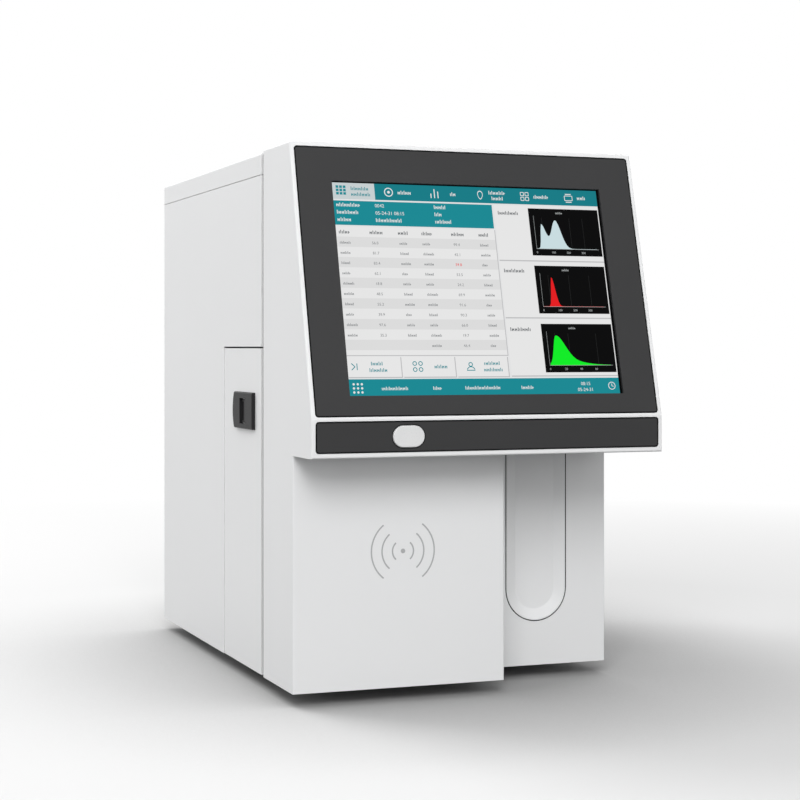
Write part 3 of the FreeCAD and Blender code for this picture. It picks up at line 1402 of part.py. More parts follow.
def vacuum_lines():
    """From the last two spigots to the diaphragm pumps, and from these to the chamber."""
    lines = []
    for index, y in enumerate(reversed(pump_places)):
        spigot_x = fitting_places[-1 - index]
        turn_y = tail_end - 14 - index * 8
        run_z = floor_z + 60 + index * 9
        out_y = y + stub_offset
        lines.append(tube([
            V(spigot_x, tail_end, fitting_z), V(spigot_x, turn_y, fitting_z), V(spigot_x, turn_y, run_z),
            V(pump_stub_x, out_y, run_z), V(pump_stub_x, out_y, pump_stub_z)], tail_radius))
        high_z = chamber_stub_z + 12 + index * 9
        stub_x = chamber_x + (2 * index - 1) * chamber_stub_offset
        in_y = y - stub_offset
        lines.append(tube([
            V(pump_stub_x, in_y, pump_stub_z), V(pump_stub_x, in_y, high_z),
            V(stub_x, chamber_y, high_z), V(stub_x, chamber_y, chamber_stub_z)], tail_radius))
    return lines


front_shell()
display()
band_and_button()
probe_trough()
card_reader()
base_plate()
side_panels()
top_cover()
mid_frame()
rear_panel()
feet_and_screws()
side_door()
hinge_brackets()
latch()
sampling_frame()
y_carriage()
z_carriage()
bath_block()
service_bulkhead()
valves()
syringe_unit()
peristaltic_pump()
pumps_and_chamber()
fan()
inlet_and_switch()
rear_sockets()
fluid_fittings()
electronics()
export("fluid_tubing", *reagent_lines(), *syringe_lines(), pump_loop(), *vacuum_lines())
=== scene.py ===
import json
import math

import bmesh
import bpy
from mathutils import Matrix, Vector


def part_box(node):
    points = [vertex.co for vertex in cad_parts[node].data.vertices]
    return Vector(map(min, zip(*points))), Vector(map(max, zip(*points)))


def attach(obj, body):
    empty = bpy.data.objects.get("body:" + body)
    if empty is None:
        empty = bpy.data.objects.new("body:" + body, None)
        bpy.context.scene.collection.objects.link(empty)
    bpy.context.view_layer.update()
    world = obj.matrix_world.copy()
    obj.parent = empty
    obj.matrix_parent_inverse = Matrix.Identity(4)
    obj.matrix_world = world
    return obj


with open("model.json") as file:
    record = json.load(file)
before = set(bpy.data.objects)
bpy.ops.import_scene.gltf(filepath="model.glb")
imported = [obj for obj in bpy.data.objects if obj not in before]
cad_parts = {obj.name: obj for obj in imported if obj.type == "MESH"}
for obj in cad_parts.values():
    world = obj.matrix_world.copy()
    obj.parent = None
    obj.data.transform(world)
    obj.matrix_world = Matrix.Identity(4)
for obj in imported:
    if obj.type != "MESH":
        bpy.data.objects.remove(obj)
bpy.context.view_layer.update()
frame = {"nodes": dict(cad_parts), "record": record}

# Desktop blood analyzer: finishes, display picture, printed sign and small fittings around the fixed frame.
# Sizes are in metres. MM turns a size that is known in millimetres into metres.
MM = 0.001

# Directions along the upright faces
TO_RIGHT = Vector((1, 0, 0))
TO_LEFT = Vector((-1, 0, 0))
UPWARD = Vector((0, 0, 1))
FORWARD = Vector((0, -1, 0))
BACKWARD = Vector((0, 1, 0))

# The tilted face of the head, found from the bezel that lies on it
FACE_TILT = math.radians(14.75)
BEZEL_FOOT = 1.85 * MM
BEZEL_THICKNESS = 2.0 * MM
SCREEN_WIDTH = 211.2 * MM
SCREEN_HEIGHT = 157.1 * MM
SCREEN_FOOT = 16.55 * MM
bezel_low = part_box("display_bezel")[0]
FACE_Y = bezel_low.y - BEZEL_FOOT * math.sin(FACE_TILT)
FACE_Z = bezel_low.z - BEZEL_FOOT * math.cos(FACE_TILT) + BEZEL_THICKNESS * math.sin(FACE_TILT)
FACE_UP = Vector((0, math.sin(FACE_TILT), math.cos(FACE_TILT)))
FACE_OUT = Vector((0, -math.cos(FACE_TILT), math.sin(FACE_TILT)))

# Planes that printed and fitted details lie on
PANEL_SETBACK = 42.6 * MM
PANEL_Y = FACE_Y + PANEL_SETBACK
REAR_PANEL_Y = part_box("rear_panel")[1].y

# Reader's sign. Each pair of arcs has a radius in millimetres and half its opening in degrees.
SIGN_X = -52.1 * MM
SIGN_Z = 107.8 * MM
SIGN_DOT = 1.7 * MM
SIGN_STROKE = 1.1 * MM
SIGN_ARCS = ((8.6, 48), (16.6, 50), (24.7, 52))

# Thickness of one printed layer, and the height of a digit as a share of its font's size
PRINT_LAYER = 0.03 * MM
DIGIT_SHARE = 0.72

# Nodes whose finish isn't the one of their material slot
OWN_FINISH = {"latch_escutcheon": "black"}

# Painted shade: dark lines that stand for the shadow in the gaps round the bezel, the band and the start
# button
GAP_SHADE_LINE = 0.8 * MM
BEZEL_CORNER = 2.2 * MM
PILL_WIDTH = 23.4 * MM
PILL_HEIGHT = 15.2 * MM

# Painted shade: a dark strip in the gap between the sampling bay's wall and its U-shaped insert
TROUGH_FLANGE = 28.65 * MM
TROUGH_SHADE_RADII = (25.6 * MM, 24.8 * MM)
TROUGH_SHADE_BACK = 1.0 * MM
TROUGH_SHADE_THICKNESS = 0.75 * MM

# Fittings on the rear panel: rings as inner radius, outer radius and width, slots as length and width
SPIGOT_FLANGE = 3.0 * MM
SPIGOT_RING = (2.5 * MM, 4.6 * MM, 1.6 * MM)
RING_EDGE = 0.3 * MM
RING_COLOURS = ((0.03, 0.13, 0.5), (0.6, 0.45, 0.02), (0.45, 0.03, 0.03), (0.03, 0.3, 0.1))
PORT_NUMBER_SIZE = 4.0 * MM
PORT_NUMBER_LEFT = 1.2 * MM
PORT_NUMBER_RISE = 11.0 * MM
SCREW_SLOT = (3.4 * MM, 0.7 * MM)
SCREW_TURN = 20
SCREW_TURN_STEP = 47

# Graduations round the syringe barrels. A mark reaches this many degrees to each side.
BARREL_RADII = (10.0 * MM, 7.0 * MM)
BARREL_MARKS = 11
BARREL_SCALE = (14.0 * MM, 54.0 * MM)
MARK_LIFT = 0.05 * MM
MARK_HEIGHT = 0.45 * MM
LONG_MARK = 42
SHORT_MARK = 24
LONG_MARK_EVERY = 5

# Floor and light. The floor turns to plain white between the two distances of FLOOR_FADE. Close under the
# instrument a contact shadow is painted into its colour: where ambient occlusion is down to CONTACT_START,
# it keeps CONTACT_LEAST of its colour.
FLOOR_REACH = 12.0
FLOOR_SEEN = (0.78, 0.78, 0.78)
FLOOR_BOUNCE = (0.15, 0.15, 0.15, 1)
FLOOR_FADE = (0.55, 1.6)
CONTACT_REACH = 0.25
CONTACT_START = 0.43
CONTACT_LEAST = 0.45
DOME_HORIZON = 1.38
DOME_ZENITH = 0.2
SEEN_RAYS = ("Is Camera Ray", "Is Glossy Ray", "Is Transmission Ray")

# The photograph's camera
CAMERA_PLACE = (-0.51767, -1.41161, 0.25471)
CAMERA_TURN = -20.64
CAMERA_LENS = 82.3
CAMERA_SENSOR = 36.0
CAMERA_SHIFT = -0.0667


# Node helpers

def new_material(name):
    """An empty node material with its shader and the object's own coordinates."""
    material = bpy.data.materials.new(name)
    material.use_nodes = True
    tree = material.node_tree
    shader = tree.nodes["Principled BSDF"]
    coordinates = tree.nodes.new("ShaderNodeTexCoord").outputs["Object"]
    return material, tree, shader, coordinates


def noise(tree, coordinates, size, detail=3.0, stretch=(1, 1, 1)):
    """Noise whose spots are about size metres across, drawn out along the axes by stretch."""
    mapping = tree.nodes.new("ShaderNodeMapping")
    mapping.inputs["Scale"].default_value = [1 / (size * s) for s in stretch]
    tree.links.new(coordinates, mapping.inputs["Vector"])
    texture = tree.nodes.new("ShaderNodeTexNoise")
    texture.inputs["Scale"].default_value = 1.0
    texture.inputs["Detail"].default_value = detail
    tree.links.new(mapping.outputs["Vector"], texture.inputs["Vector"])
    return texture.outputs["Fac"]


def spread(tree, value, low, high, start=0.3, end=0.7):
    """Map a texture's value onto the range from low to high."""
    node = tree.nodes.new("ShaderNodeMapRange")
    node.inputs["From Min"].default_value = start
    node.inputs["From Max"].default_value = end
    node.inputs["To Min"].default_value = low
    node.inputs["To Max"].default_value = high
    tree.links.new(value, node.inputs["Value"])
    return node.outputs["Result"]


def blend_colours(tree, factor, first, second):
    """Colour between two others, which may be sockets or plain colours."""
    node = tree.nodes.new("ShaderNodeMix")
    node.data_type = "RGBA"
    tree.links.new(factor, node.inputs["Factor"])
    for socket, colour in ((node.inputs[6], first), (node.inputs[7], second)):
        if isinstance(colour, bpy.types.NodeSocket):
            tree.links.new(colour, socket)
        else:
            socket.default_value = (*colour, 1)
    return node.outputs[2]


def bump(tree, shader, height, depth, strength=1.0):
    """Raise the surface by depth metres where the height is one."""
    node = tree.nodes.new("ShaderNodeBump")
    node.inputs["Strength"].default_value = 1.0
    node.inputs["Distance"].default_value = depth
    tree.links.new(height, node.inputs["Height"])
    if shader.inputs["Normal"].is_linked:
        tree.links.new(shader.inputs["Normal"].links[0].from_socket, node.inputs["Normal"])
    tree.links.new(node.outputs["Normal"], shader.inputs["Normal"])


def darker(colour, share):
    """The colour with a share of its light taken away."""
    return tuple(c * (1 - share) for c in colour)


def finish_surface(name, colour, roughness, metallic=0.0, specular=0.5, mottle=(0.03, 0.03),
                   grain=(0.0006, 0.00002), wear=0.08, stretch=(1, 1, 1)):
    """A finish with slow colour mottling, fine grain and a roughness that wanders a little."""
    material, tree, shader, coordinates = new_material(name)
    slow = noise(tree, coordinates, mottle[0])
    tree.links.new(
        blend_colours(tree, spread(tree, slow, 0, 1), colour, darker(colour, mottle[1])),
        shader.inputs["Base Color"])
    fine = noise(tree, coordinates, grain[0], 2.0, stretch)
    tree.links.new(
        spread(tree, fine, roughness - wear / 2, roughness + wear / 2), shader.inputs["Roughness"])
    shader.inputs["Metallic"].default_value = metallic
    shader.inputs["Specular IOR Level"].default_value = specular
    bump(tree, shader, fine, grain[1])
    return material


# Finishes of the object's materials

def moulded_white():
    """Fine spark-eroded texture of the moulded front."""
    return finish_surface(
        "moulded_white", (0.80, 0.805, 0.81), 0.48, specular=0.35, mottle=(0.12, 0.012),
        grain=(0.0005, 0.000012))


def coated_sheet():
    """Powder coat: broad orange peel under a fine grain."""
    material = finish_surface(
        "coated_sheet", (0.795, 0.80, 0.805), 0.42, specular=0.35, mottle=(0.15, 0.012),
        grain=(0.0004, 0.000008))
    tree = material.node_tree
    shader = tree.nodes["Principled BSDF"]
    coordinates = tree.nodes["Texture Coordinate"].outputs["Object"]
    peel = noise(tree, coordinates, 0.0022, 1.0)
    bump(tree, shader, peel, 0.00002, 0.6)
    return material


def graphite_plastic():
    """Dark bezel with a satin texture."""
    return finish_surface(
        "graphite_plastic", (0.036, 0.036, 0.037), 0.5, specular=0.2, mottle=(0.05, 0.06),
        grain=(0.0004, 0.000012))


def brushed_metal(name, colour, direction, roughness=0.32):
    """Metal with fine scratches along one axis."""
    stretch = tuple(40 if axis == direction else 1 for axis in "XYZ")
    return finish_surface(
        name, colour, roughness, metallic=1.0, mottle=(0.02, 0.08), grain=(0.0003, 0.000004), wear=0.14,
        stretch=stretch)


def zinc_plate():
    """Galvanised sheet with faint spangles."""
    material, tree, shader, coordinates = new_material("zinc_plate")
    cells = tree.nodes.new("ShaderNodeTexVoronoi")
    cells.inputs["Scale"].default_value = 140
    tree.links.new(coordinates, cells.inputs["Vector"])
    grey = blend_colours(tree, cells.outputs["Color"], (0.56, 0.57, 0.58), (0.66, 0.67, 0.68))
    tree.links.new(grey, shader.inputs["Base Color"])
    shader.inputs["Metallic"].default_value = 1.0
    tree.links.new(spread(tree, cells.outputs["Distance"], 0.36, 0.5, 0, 1), shader.inputs["Roughness"])
    return material


def circuit_board():
    """Solder mask with paler tracks and small bright pads."""
    material, tree, shader, coordinates = new_material("circuit_board")
    tracks = tree.nodes.new("ShaderNodeTexBrick")
    tracks.inputs["Scale"].default_value = 180
    tracks.inputs["Mortar Size"].default_value = 0.045
    tree.links.new(coordinates, tracks.inputs["Vector"])
    pads = tree.nodes.new("ShaderNodeTexVoronoi")
    pads.inputs["Scale"].default_value = 260
    tree.links.new(coordinates, pads.inputs["Vector"])
    mask = blend_colours(tree, tracks.outputs["Fac"], (0.012, 0.12, 0.045), (0.03, 0.2, 0.08))
    spots = spread(tree, pads.outputs["Distance"], 1, 0, 0.1, 0.14)
    tree.links.new(blend_colours(tree, spots, mask, (0.6, 0.5, 0.3)), shader.inputs["Base Color"])
    tree.links.new(spread(tree, spots, 0.35, 0.25, 0, 1), shader.inputs["Roughness"])
    return material


def clear_plastic(name, colour, alpha):
    """Pale clear acrylic, seen as a tinted film over what is behind it."""
    material = finish_surface(name, colour, 0.12, mottle=(0.02, 0.05), grain=(0.001, 0.00001), wear=0.06)
    shader = material.node_tree.nodes["Principled BSDF"]
    shader.inputs["Alpha"].default_value = alpha
    return material


def glowing(name, colour):
    """A colour of the lit display, with the panel's fine pixel rows and a slightly uneven backlight."""
    material, tree, shader, coordinates = new_material(name)
    slow = noise(tree, coordinates, 0.12, 1.0)
    rows = tree.nodes.new("ShaderNodeTexWave")
    rows.bands_direction = "Z"
    rows.inputs["Scale"].default_value = 1250
    tree.links.new(coordinates, rows.inputs["Vector"])
    lit = blend_colours(tree, spread(tree, slow, 0, 1), colour, darker(colour, 0.05))
    striped = blend_colours(tree, spread(tree, rows.outputs["Fac"], 0, 1, 0, 1), lit, darker(colour, 0.04))
    tree.links.new(striped, shader.inputs["Emission Color"])
    shader.inputs["Emission Strength"].default_value = 1.0
    shader.inputs["Base Color"].default_value = (0.001, 0.001, 0.001, 1)
    shader.inputs["Roughness"].default_value = 0.22
    shader.inputs["Specular IOR Level"].default_value = 0.03
    return material


def touch_glass():
    """Glass of the touch panel, dark where no picture lies over it."""
    return finish_surface(
        "touch_glass", (0.006, 0.007, 0.008), 0.12, mottle=(0.1, 0.1), grain=(0.002, 0.000002), wear=0.04)


def printed_ink(name, colour):
    """Thin ink with hardly any grain of its own."""
    return finish_surface(name, colour, 0.5, mottle=(0.01, 0.05), grain=(0.0004, 0.000006))


def build_finishes():
    """One finish for each material slot of the frame, and one for the painted shade of a gap."""
    return {
        "shell_white": moulded_white(),
        "panel_white": coated_sheet(),
        "bead_grey": finish_surface("bead_grey", (0.16, 0.163, 0.166), 0.55, specular=0.3),
        "graphite": graphite_plastic(),
        "black": finish_surface("black_plastic", (0.016, 0.016, 0.017), 0.5, specular=0.14),
        "gap": finish_surface(
            "gap_shadow", (0.006, 0.006, 0.006), 0.9, specular=0.05, grain=(0.0008, 0.000004)),
        "glass": touch_glass(),
        "screen": finish_surface("lcd_frame", (0.35, 0.36, 0.37), 0.35, metallic=1.0),
        "button_grey": finish_surface("button_pale", (0.73, 0.735, 0.735), 0.3, grain=(0.0008, 0.000006)),
        "rubber": finish_surface("foot_rubber", (0.018, 0.018, 0.018), 0.8, grain=(0.0009, 0.00006)),
        "steel": brushed_metal("brushed_steel", (0.62, 0.63, 0.64), "X"),
        "zinc": zinc_plate(),
        "aluminium": brushed_metal("milled_aluminium", (0.72, 0.73, 0.74), "Y", 0.38),
        "board_green": circuit_board(),
        "motor_black": finish_surface("motor_black", (0.025, 0.025, 0.028), 0.42, metallic=0.4),
        "brass": brushed_metal("turned_brass", (0.75, 0.56, 0.26), "Z", 0.28),
        "clear": clear_plastic("clear_acrylic", (0.82, 0.9, 0.93), 0.3),
        "valve_white": finish_surface("valve_white", (0.66, 0.67, 0.68), 0.5),
        "tube_clear": clear_plastic("tube_clear", (0.75, 0.79, 0.8), 0.75),
    }


def dress_frame(finishes):
    """Give every node of the frame the finish of its material slot, or the one that is set for it alone."""
    for part in frame["record"]["subparts"]:
        node = frame["nodes"][part["node"]]
        slot = OWN_FINISH.get(part["node"], part["material_slot"])
        node.data.materials.clear()
        node.data.materials.append(finishes[slot])


# Pieces of the scene's own, which ride on the frame's bodies

def new_piece(name, body, mesh, materials):
    """An object made of a finished mesh, which is used up, riding on one of the frame's bodies."""
    bmesh.ops.recalc_face_normals(mesh, faces=mesh.faces)
    data = bpy.data.meshes.new(name)
    mesh.to_mesh(data)
    mesh.free()
    for material in materials:
        data.materials.append(material)
    piece = bpy.data.objects.new(name, data)
    bpy.context.scene.collection.objects.link(piece)
    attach(piece, body)
    return piece


def rounded(u0, v0, u1, v1, corner, steps=6):
    """Closed outline of a rectangle with rounded corners."""
    centres = ((u1 - corner, v1 - corner), (u0 + corner, v1 - corner), (u0 + corner, v0 + corner),
               (u1 - corner, v0 + corner))
    points = []
    for quarter, (u, v) in enumerate(centres):
        for index in range(steps + 1):
            angle = math.pi / 2 * (quarter + index / steps)
            points.append((u + corner * math.cos(angle), v + corner * math.sin(angle)))
    return points + points[:1]


class Relief:
    """Flat shapes with a real thickness on a plane, gathered into one mesh in several colours."""

    def __init__(self, origin, right, up, out, layer):
        self.origin = origin
        self.right = right
        self.up = up
        self.out = out
        self.layer = layer
        self.mesh = bmesh.new()
        self.colours = []

    def place(self, u, v, height):
        """The point at u to the right, v up and height out of the plane."""
        return self.origin + self.right * u + self.up * v + self.out * height

    def shape(self, outline, colour, level=0):
        """A flat shape, one layer thick, whose back lies at its level."""
        if colour not in self.colours:
            self.colours.append(colour)
        low = level * self.layer
        high = low + self.layer
        back = [self.mesh.verts.new(self.place(u, v, low)) for u, v in outline]
        front = [self.mesh.verts.new(self.place(u, v, high)) for u, v in outline]
        faces = [self.mesh.faces.new(front), self.mesh.faces.new(back[::-1])]
        for index in range(len(outline)):
            after = (index + 1) % len(outline)
            faces.append(self.mesh.faces.new([back[index], back[after], front[after], front[index]]))
        for face in faces:
            face.material_index = self.colours.index(colour)

    def rectangle(self, u0, v0, u1, v1, colour, level=0):
        self.shape([(u0, v0), (u1, v0), (u1, v1), (u0, v1)], colour, level)

    def ring(self, u, v, radius, width, colour, level=0, start=0.0, end=360.0, steps=28):
        """A part of a ring, from one angle to the other, in degrees."""
        outer = []
        inner = []
        whole = end - start >= 360
        for index in range(steps + 1):
            angle = math.radians(start + (end - start) * index / steps)
            outer.append((u + radius * math.cos(angle), v + radius * math.sin(angle)))
            inner.append((u + (radius - width) * math.cos(angle), v + (radius - width) * math.sin(angle)))
        if whole:
            self.hoop(outer, inner, colour, level)
        else:
            self.shape(outer + inner[::-1], colour, level)

    def hoop(self, outer, inner, colour, level=0):
        """What lies between two closed outlines, whose last points repeat the first, as two halves."""
        middle = len(outer) // 2
        self.shape(outer[:middle + 1] + inner[:middle + 1][::-1], colour, level)
        self.shape(outer[middle:] + inner[middle:][::-1], colour, level)

    def border(self, u0, v0, u1, v1, corner, width, colour, level=0):
        """A line of some width that runs inside a rectangle with rounded corners."""
        self.hoop(
            rounded(u0, v0, u1, v1, corner),
            rounded(u0 + width, v0 + width, u1 - width, v1 - width, corner - width), colour, level)

    def disc(self, u, v, radius, colour, level=0, steps=24):
        turn = 2 * math.pi / steps
        self.shape(
            [(u + radius * math.cos(turn * i), v + radius * math.sin(turn * i)) for i in range(steps)],
            colour, level)

    def line(self, points, width, colour, level=0):
        """Straight strokes from point to point."""
        for (u0, v0), (u1, v1) in zip(points, points[1:]):
            length = math.hypot(u1 - u0, v1 - v0)
            du = (v1 - v0) / length * width / 2
            dv = -(u1 - u0) / length * width / 2
            corners = [(u0 + du, v0 + dv), (u1 + du, v1 + dv), (u1 - du, v1 - dv), (u0 - du, v0 - dv)]
            self.shape(corners, colour, level)

    def number(self, text, u, v, height, colour, level=0):
        """Plain digits whose foot starts at u, v."""
        if colour not in self.colours:
            self.colours.append(colour)
        curve = bpy.data.curves.new("digits", "FONT")
        curve.body = text
        curve.size = height / DIGIT_SHARE
        curve.extrude = self.layer / 2
        curve.resolution_u = 3
        holder = bpy.data.objects.new("digits", curve)
        bpy.context.scene.collection.objects.link(holder)
        bpy.context.view_layer.update()
        evaluated = holder.evaluated_get(bpy.context.evaluated_depsgraph_get())
        flat = bpy.data.meshes.new_from_object(evaluated)
        turn = Matrix((self.right, self.up, self.out)).transposed().to_4x4()
        place = Matrix.Translation(self.place(u, v, (level + 0.5) * self.layer))
        flat.transform(place @ turn)
        first = len(self.mesh.faces)
        self.mesh.from_mesh(flat)
        self.mesh.faces.ensure_lookup_table()
        for index in range(first, len(self.mesh.faces)):
            self.mesh.faces[index].material_index = self.colours.index(colour)
        bpy.data.objects.remove(holder)
        bpy.data.curves.remove(curve)
        bpy.data.meshes.remove(flat)

    def build(self, name, body, palette):
        """The finished piece, with its colours taken from the palette."""
        return new_piece(name, body, self.mesh, [palette[colour] for colour in self.colours])


# Display picture, in metres from the lower left corner of the screen opening

# Levels of its layers, from the glass outward
BACKING, GROUND, FIELD, ON_FIELD, ON_TILE, FRONT = range(6)

# Bars, columns and fields of the picture. ICONS is the first pictogram's middle and the step to the next one,
# and BUTTONS the foot and top of the touch fields.
HEADER = 12.2 * MM
FOOTER = 12.1 * MM
STRIP = 18.2 * MM
GUTTER = 1.2 * MM
SPLIT = 122.8 * MM
TAB = 32.3 * MM
ICONS = (43.0 * MM, 35.7 * MM)
ROWS = 12
ROWS_FOOT = 33.1 * MM
TABLE_LINE = 29.5 * MM
BUTTONS = (13.8 * MM, 28.6 * MM)
PLOT_WIDTH = 57.0 * MM
PLOT_HEIGHT = 36.4 * MM
PLOT_PITCH = 44.2 * MM
# The black margins round the picture are the panel's black border, and at the top and right also painted
# shade of the bezel
PICTURE_LEFT = 0.1 * MM
PICTURE_FOOT = 0.15 * MM
PICTURE_RIGHT = SCREEN_WIDTH - 1.9 * MM
PICTURE_TOP = SCREEN_HEIGHT - 0.7 * MM

# A plot's axes inside its black field, and the pale panel behind it with a title and a shaded foot
AXES_LEFT = 4.4 * MM
AXES_FOOT = 5.4 * MM
AXES_SIDES = 8.4 * MM
AXES_ENDS = 12.5 * MM
PANEL_LEFT = SPLIT + 1.6 * MM
PLOT_TITLE = SPLIT + 4.4 * MM
PANEL_GAP = 1.4 * MM
SHADE = 0.6 * MM

# Heights of words and figures
WORD = 2.7 * MM
WORD_LARGE = 2.8 * MM
WORD_SMALL = 2.0 * MM
FIGURE_LARGE = 2.6 * MM
FIGURE_SMALL = 2.1 * MM
FOOTER_TEXT = 2.5 * MM


def screen_relief():
    """Relief on the touch glass, a layer stack that stays behind the bezel's front."""
    corner = Vector((-SCREEN_WIDTH / 2, FACE_Y, FACE_Z)) + FACE_UP * SCREEN_FOOT - FACE_OUT * BEZEL_THICKNESS
    return Relief(corner, TO_RIGHT, FACE_UP, FACE_OUT, PRINT_LAYER)


def word(relief, u, v, length, colour, level, height):
    """Fine upright strokes and small bridges in a row, which stand for a word and spell nothing."""
    stroke = height * 0.2
    pitch = height * 0.42
    for index in range(int(length / pitch)):
        start = u + index * pitch
        beat = (index * 5 + round(length / MM)) % 7
        top = v + height * (1.0 if beat in (0, 3) else 0.7)
        relief.rectangle(start, v, start + stroke, top, colour, level)
        if beat in (1, 4):
            bridge = v + height * 0.3
            relief.rectangle(start + stroke, bridge, start + pitch, bridge + stroke, colour, level)


def header_icons(relief, v):
    """Five plain pictograms in thin strokes, target, bars, drop, tiles and sheet, with words beside them."""
    size = 3.4 * MM
    stroke = 0.5 * MM
    white = "picture_white"
    target, bars, drop, tiles, sheet = [ICONS[0] + ICONS[1] * index for index in range(5)]
    relief.ring(target, v, size, stroke * 1.4, white, ON_FIELD)
    relief.disc(target, v, size * 0.3, white, ON_FIELD)
    for index, tall in enumerate((0.5, 1.0, 0.75)):
        left = bars - size + index * size * 0.8
        relief.rectangle(left, v - size, left + stroke * 1.5, v - size + 2 * size * tall, white, ON_FIELD)
    outlines = [drop_outline(drop, v, reach) for reach in (size, size - 1.4 * stroke)]
    relief.hoop(*outlines, white, ON_FIELD)
    side = size * 0.9
    for i in range(2):
        for j in range(2):
            left = tiles - size + i * size * 1.1
            low = v - size + j * size * 1.1
            relief.border(left, low, left + side, low + side, stroke * 1.2, stroke, white, ON_FIELD)
    left = sheet - size
    right = left + 2 * size
    relief.border(left, v - size * 0.7, right, v + size * 0.5, stroke * 1.4, stroke, white, ON_FIELD)
    for low in (0.7, -1.1):
        edge = stroke * 2
        relief.rectangle(left + edge, v + size * low, right - edge, v + size * (low + 0.2), white, ON_FIELD)
    # Each word's pictogram, then its start and foot from the pictogram's middle and its length
    words = ((target, 7.0, -1.4, 10.6), (bars, 12.0, -1.4, 5.0), (drop, 7.0, 0.7, 13.5),
             (drop, 9.0, -3.6, 10.5), (tiles, 7.3, -1.4, 12.0), (sheet, 7.2, -1.4, 8.0))
    for icon, across, foot, length in words:
        word(relief, icon + across * MM, v + foot * MM, length * MM, white, ON_FIELD, WORD_LARGE)


def drop_outline(u, v, reach, steps=20):
    """Closed outline of a drop about u, v that reaches as far up as down."""
    points = []
    for index in range(steps + 1):
        angle = 2 * math.pi * index / steps
        width = 0.75 * math.sin(angle) * (0.4 + 0.6 * abs(math.cos(angle / 2)))
        points.append((u + reach * width, v + reach * math.cos(angle)))
    return points


def picture_header(relief):
    """Bar in a darker teal that is painted shade from the bezel, with a pale tab at its left, which holds
    nine tiles and two words, and with the pictograms.
    """
    foot = PICTURE_TOP - HEADER
    relief.rectangle(PICTURE_LEFT, foot, PICTURE_RIGHT, PICTURE_TOP, "picture_teal_bezel_shade", FIELD)
    relief.rectangle(PICTURE_LEFT, foot, PICTURE_LEFT + TAB, PICTURE_TOP, "picture_tab", ON_FIELD)
    for i in range(3):
        for j in range(3):
            u = (3.2 + i * 2.7) * MM
            v = PICTURE_TOP - (9.0 - j * 2.5) * MM
            relief.rectangle(u, v, u + 2.0 * MM, v + 1.9 * MM, "picture_teal", ON_TILE)
    for drop, length in ((5.4, 14), (9.7, 15)):
        word(relief, 14.5 * MM, PICTURE_TOP - drop * MM, length * MM, "picture_teal", ON_TILE, WORD)
    header_icons(relief, PICTURE_TOP - HEADER / 2)


def picture_strip(relief):
    """Teal strip under the header, with three rows of words and plain figures."""
    top = PICTURE_TOP - HEADER - GUTTER
    white = "picture_white"
    relief.rectangle(PICTURE_LEFT, top - STRIP, SPLIT, top, "picture_teal", FIELD)
    rows = [top - (4.4 + 5.5 * row) * MM for row in range(3)]
    for v, first, second in zip(rows, (18, 17, 11), (10, 7, 13)):
        word(relief, 2.6 * MM, v, first * MM, white, ON_FIELD, WORD_LARGE)
        word(relief, 77 * MM, v, second * MM, white, ON_FIELD, WORD_LARGE)
    relief.number("0042", 31.5 * MM, rows[0], FIGURE_LARGE, white, ON_FIELD)
    relief.number("05-24-31 08:15", 31.5 * MM, rows[1], FIGURE_LARGE, white, ON_FIELD)
    word(relief, 31.5 * MM, rows[2], 21 * MM, white, ON_FIELD, WORD_LARGE)


def picture_footer(relief):
    """Teal bar along the foot, with nine dots, words, a plain date and time, and a clock."""
    white = "picture_white"
    relief.rectangle(PICTURE_LEFT, PICTURE_FOOT, PICTURE_RIGHT, PICTURE_FOOT + FOOTER, "picture_teal", FIELD)
    for i in range(3):
        for j in range(3):
            relief.disc((4.0 + i * 3.0) * MM, (2.9 + j * 2.9) * MM, 0.85 * MM, white, ON_FIELD, 10)
    for start, length in ((24.5, 20), (63, 7), (87.5, 28), (131, 10)):
        word(relief, start * MM, 4.3 * MM, length * MM, white, ON_FIELD, FOOTER_TEXT)
    relief.number("08:15", 178.4 * MM, 6.8 * MM, FOOTER_TEXT, white, ON_FIELD)
    relief.number("05-24-31", 175.5 * MM, 2.4 * MM, FOOTER_TEXT, white, ON_FIELD)
    u = 203.3 * MM
    v = 6.2 * MM
    stroke = 0.5 * MM
    relief.ring(u, v, 2.9 * MM, stroke, white, ON_FIELD)
    relief.line([(u, v + 1.6 * MM), (u, v), (u + 1.3 * MM, v - 0.6 * MM)], stroke, white, ON_FIELD)


def picture_frame(palette):
    """Ground of the picture, its header, the strip under it and the footer."""
    relief = screen_relief()
    relief.rectangle(0, 0, SCREEN_WIDTH, SCREEN_HEIGHT, "picture_black", BACKING)
    relief.rectangle(PICTURE_LEFT, PICTURE_FOOT, PICTURE_RIGHT, PICTURE_TOP, "picture_ground", GROUND)
    picture_header(relief)
    picture_strip(relief)
    picture_footer(relief)
    relief.build("picture_frame", "housing", palette)


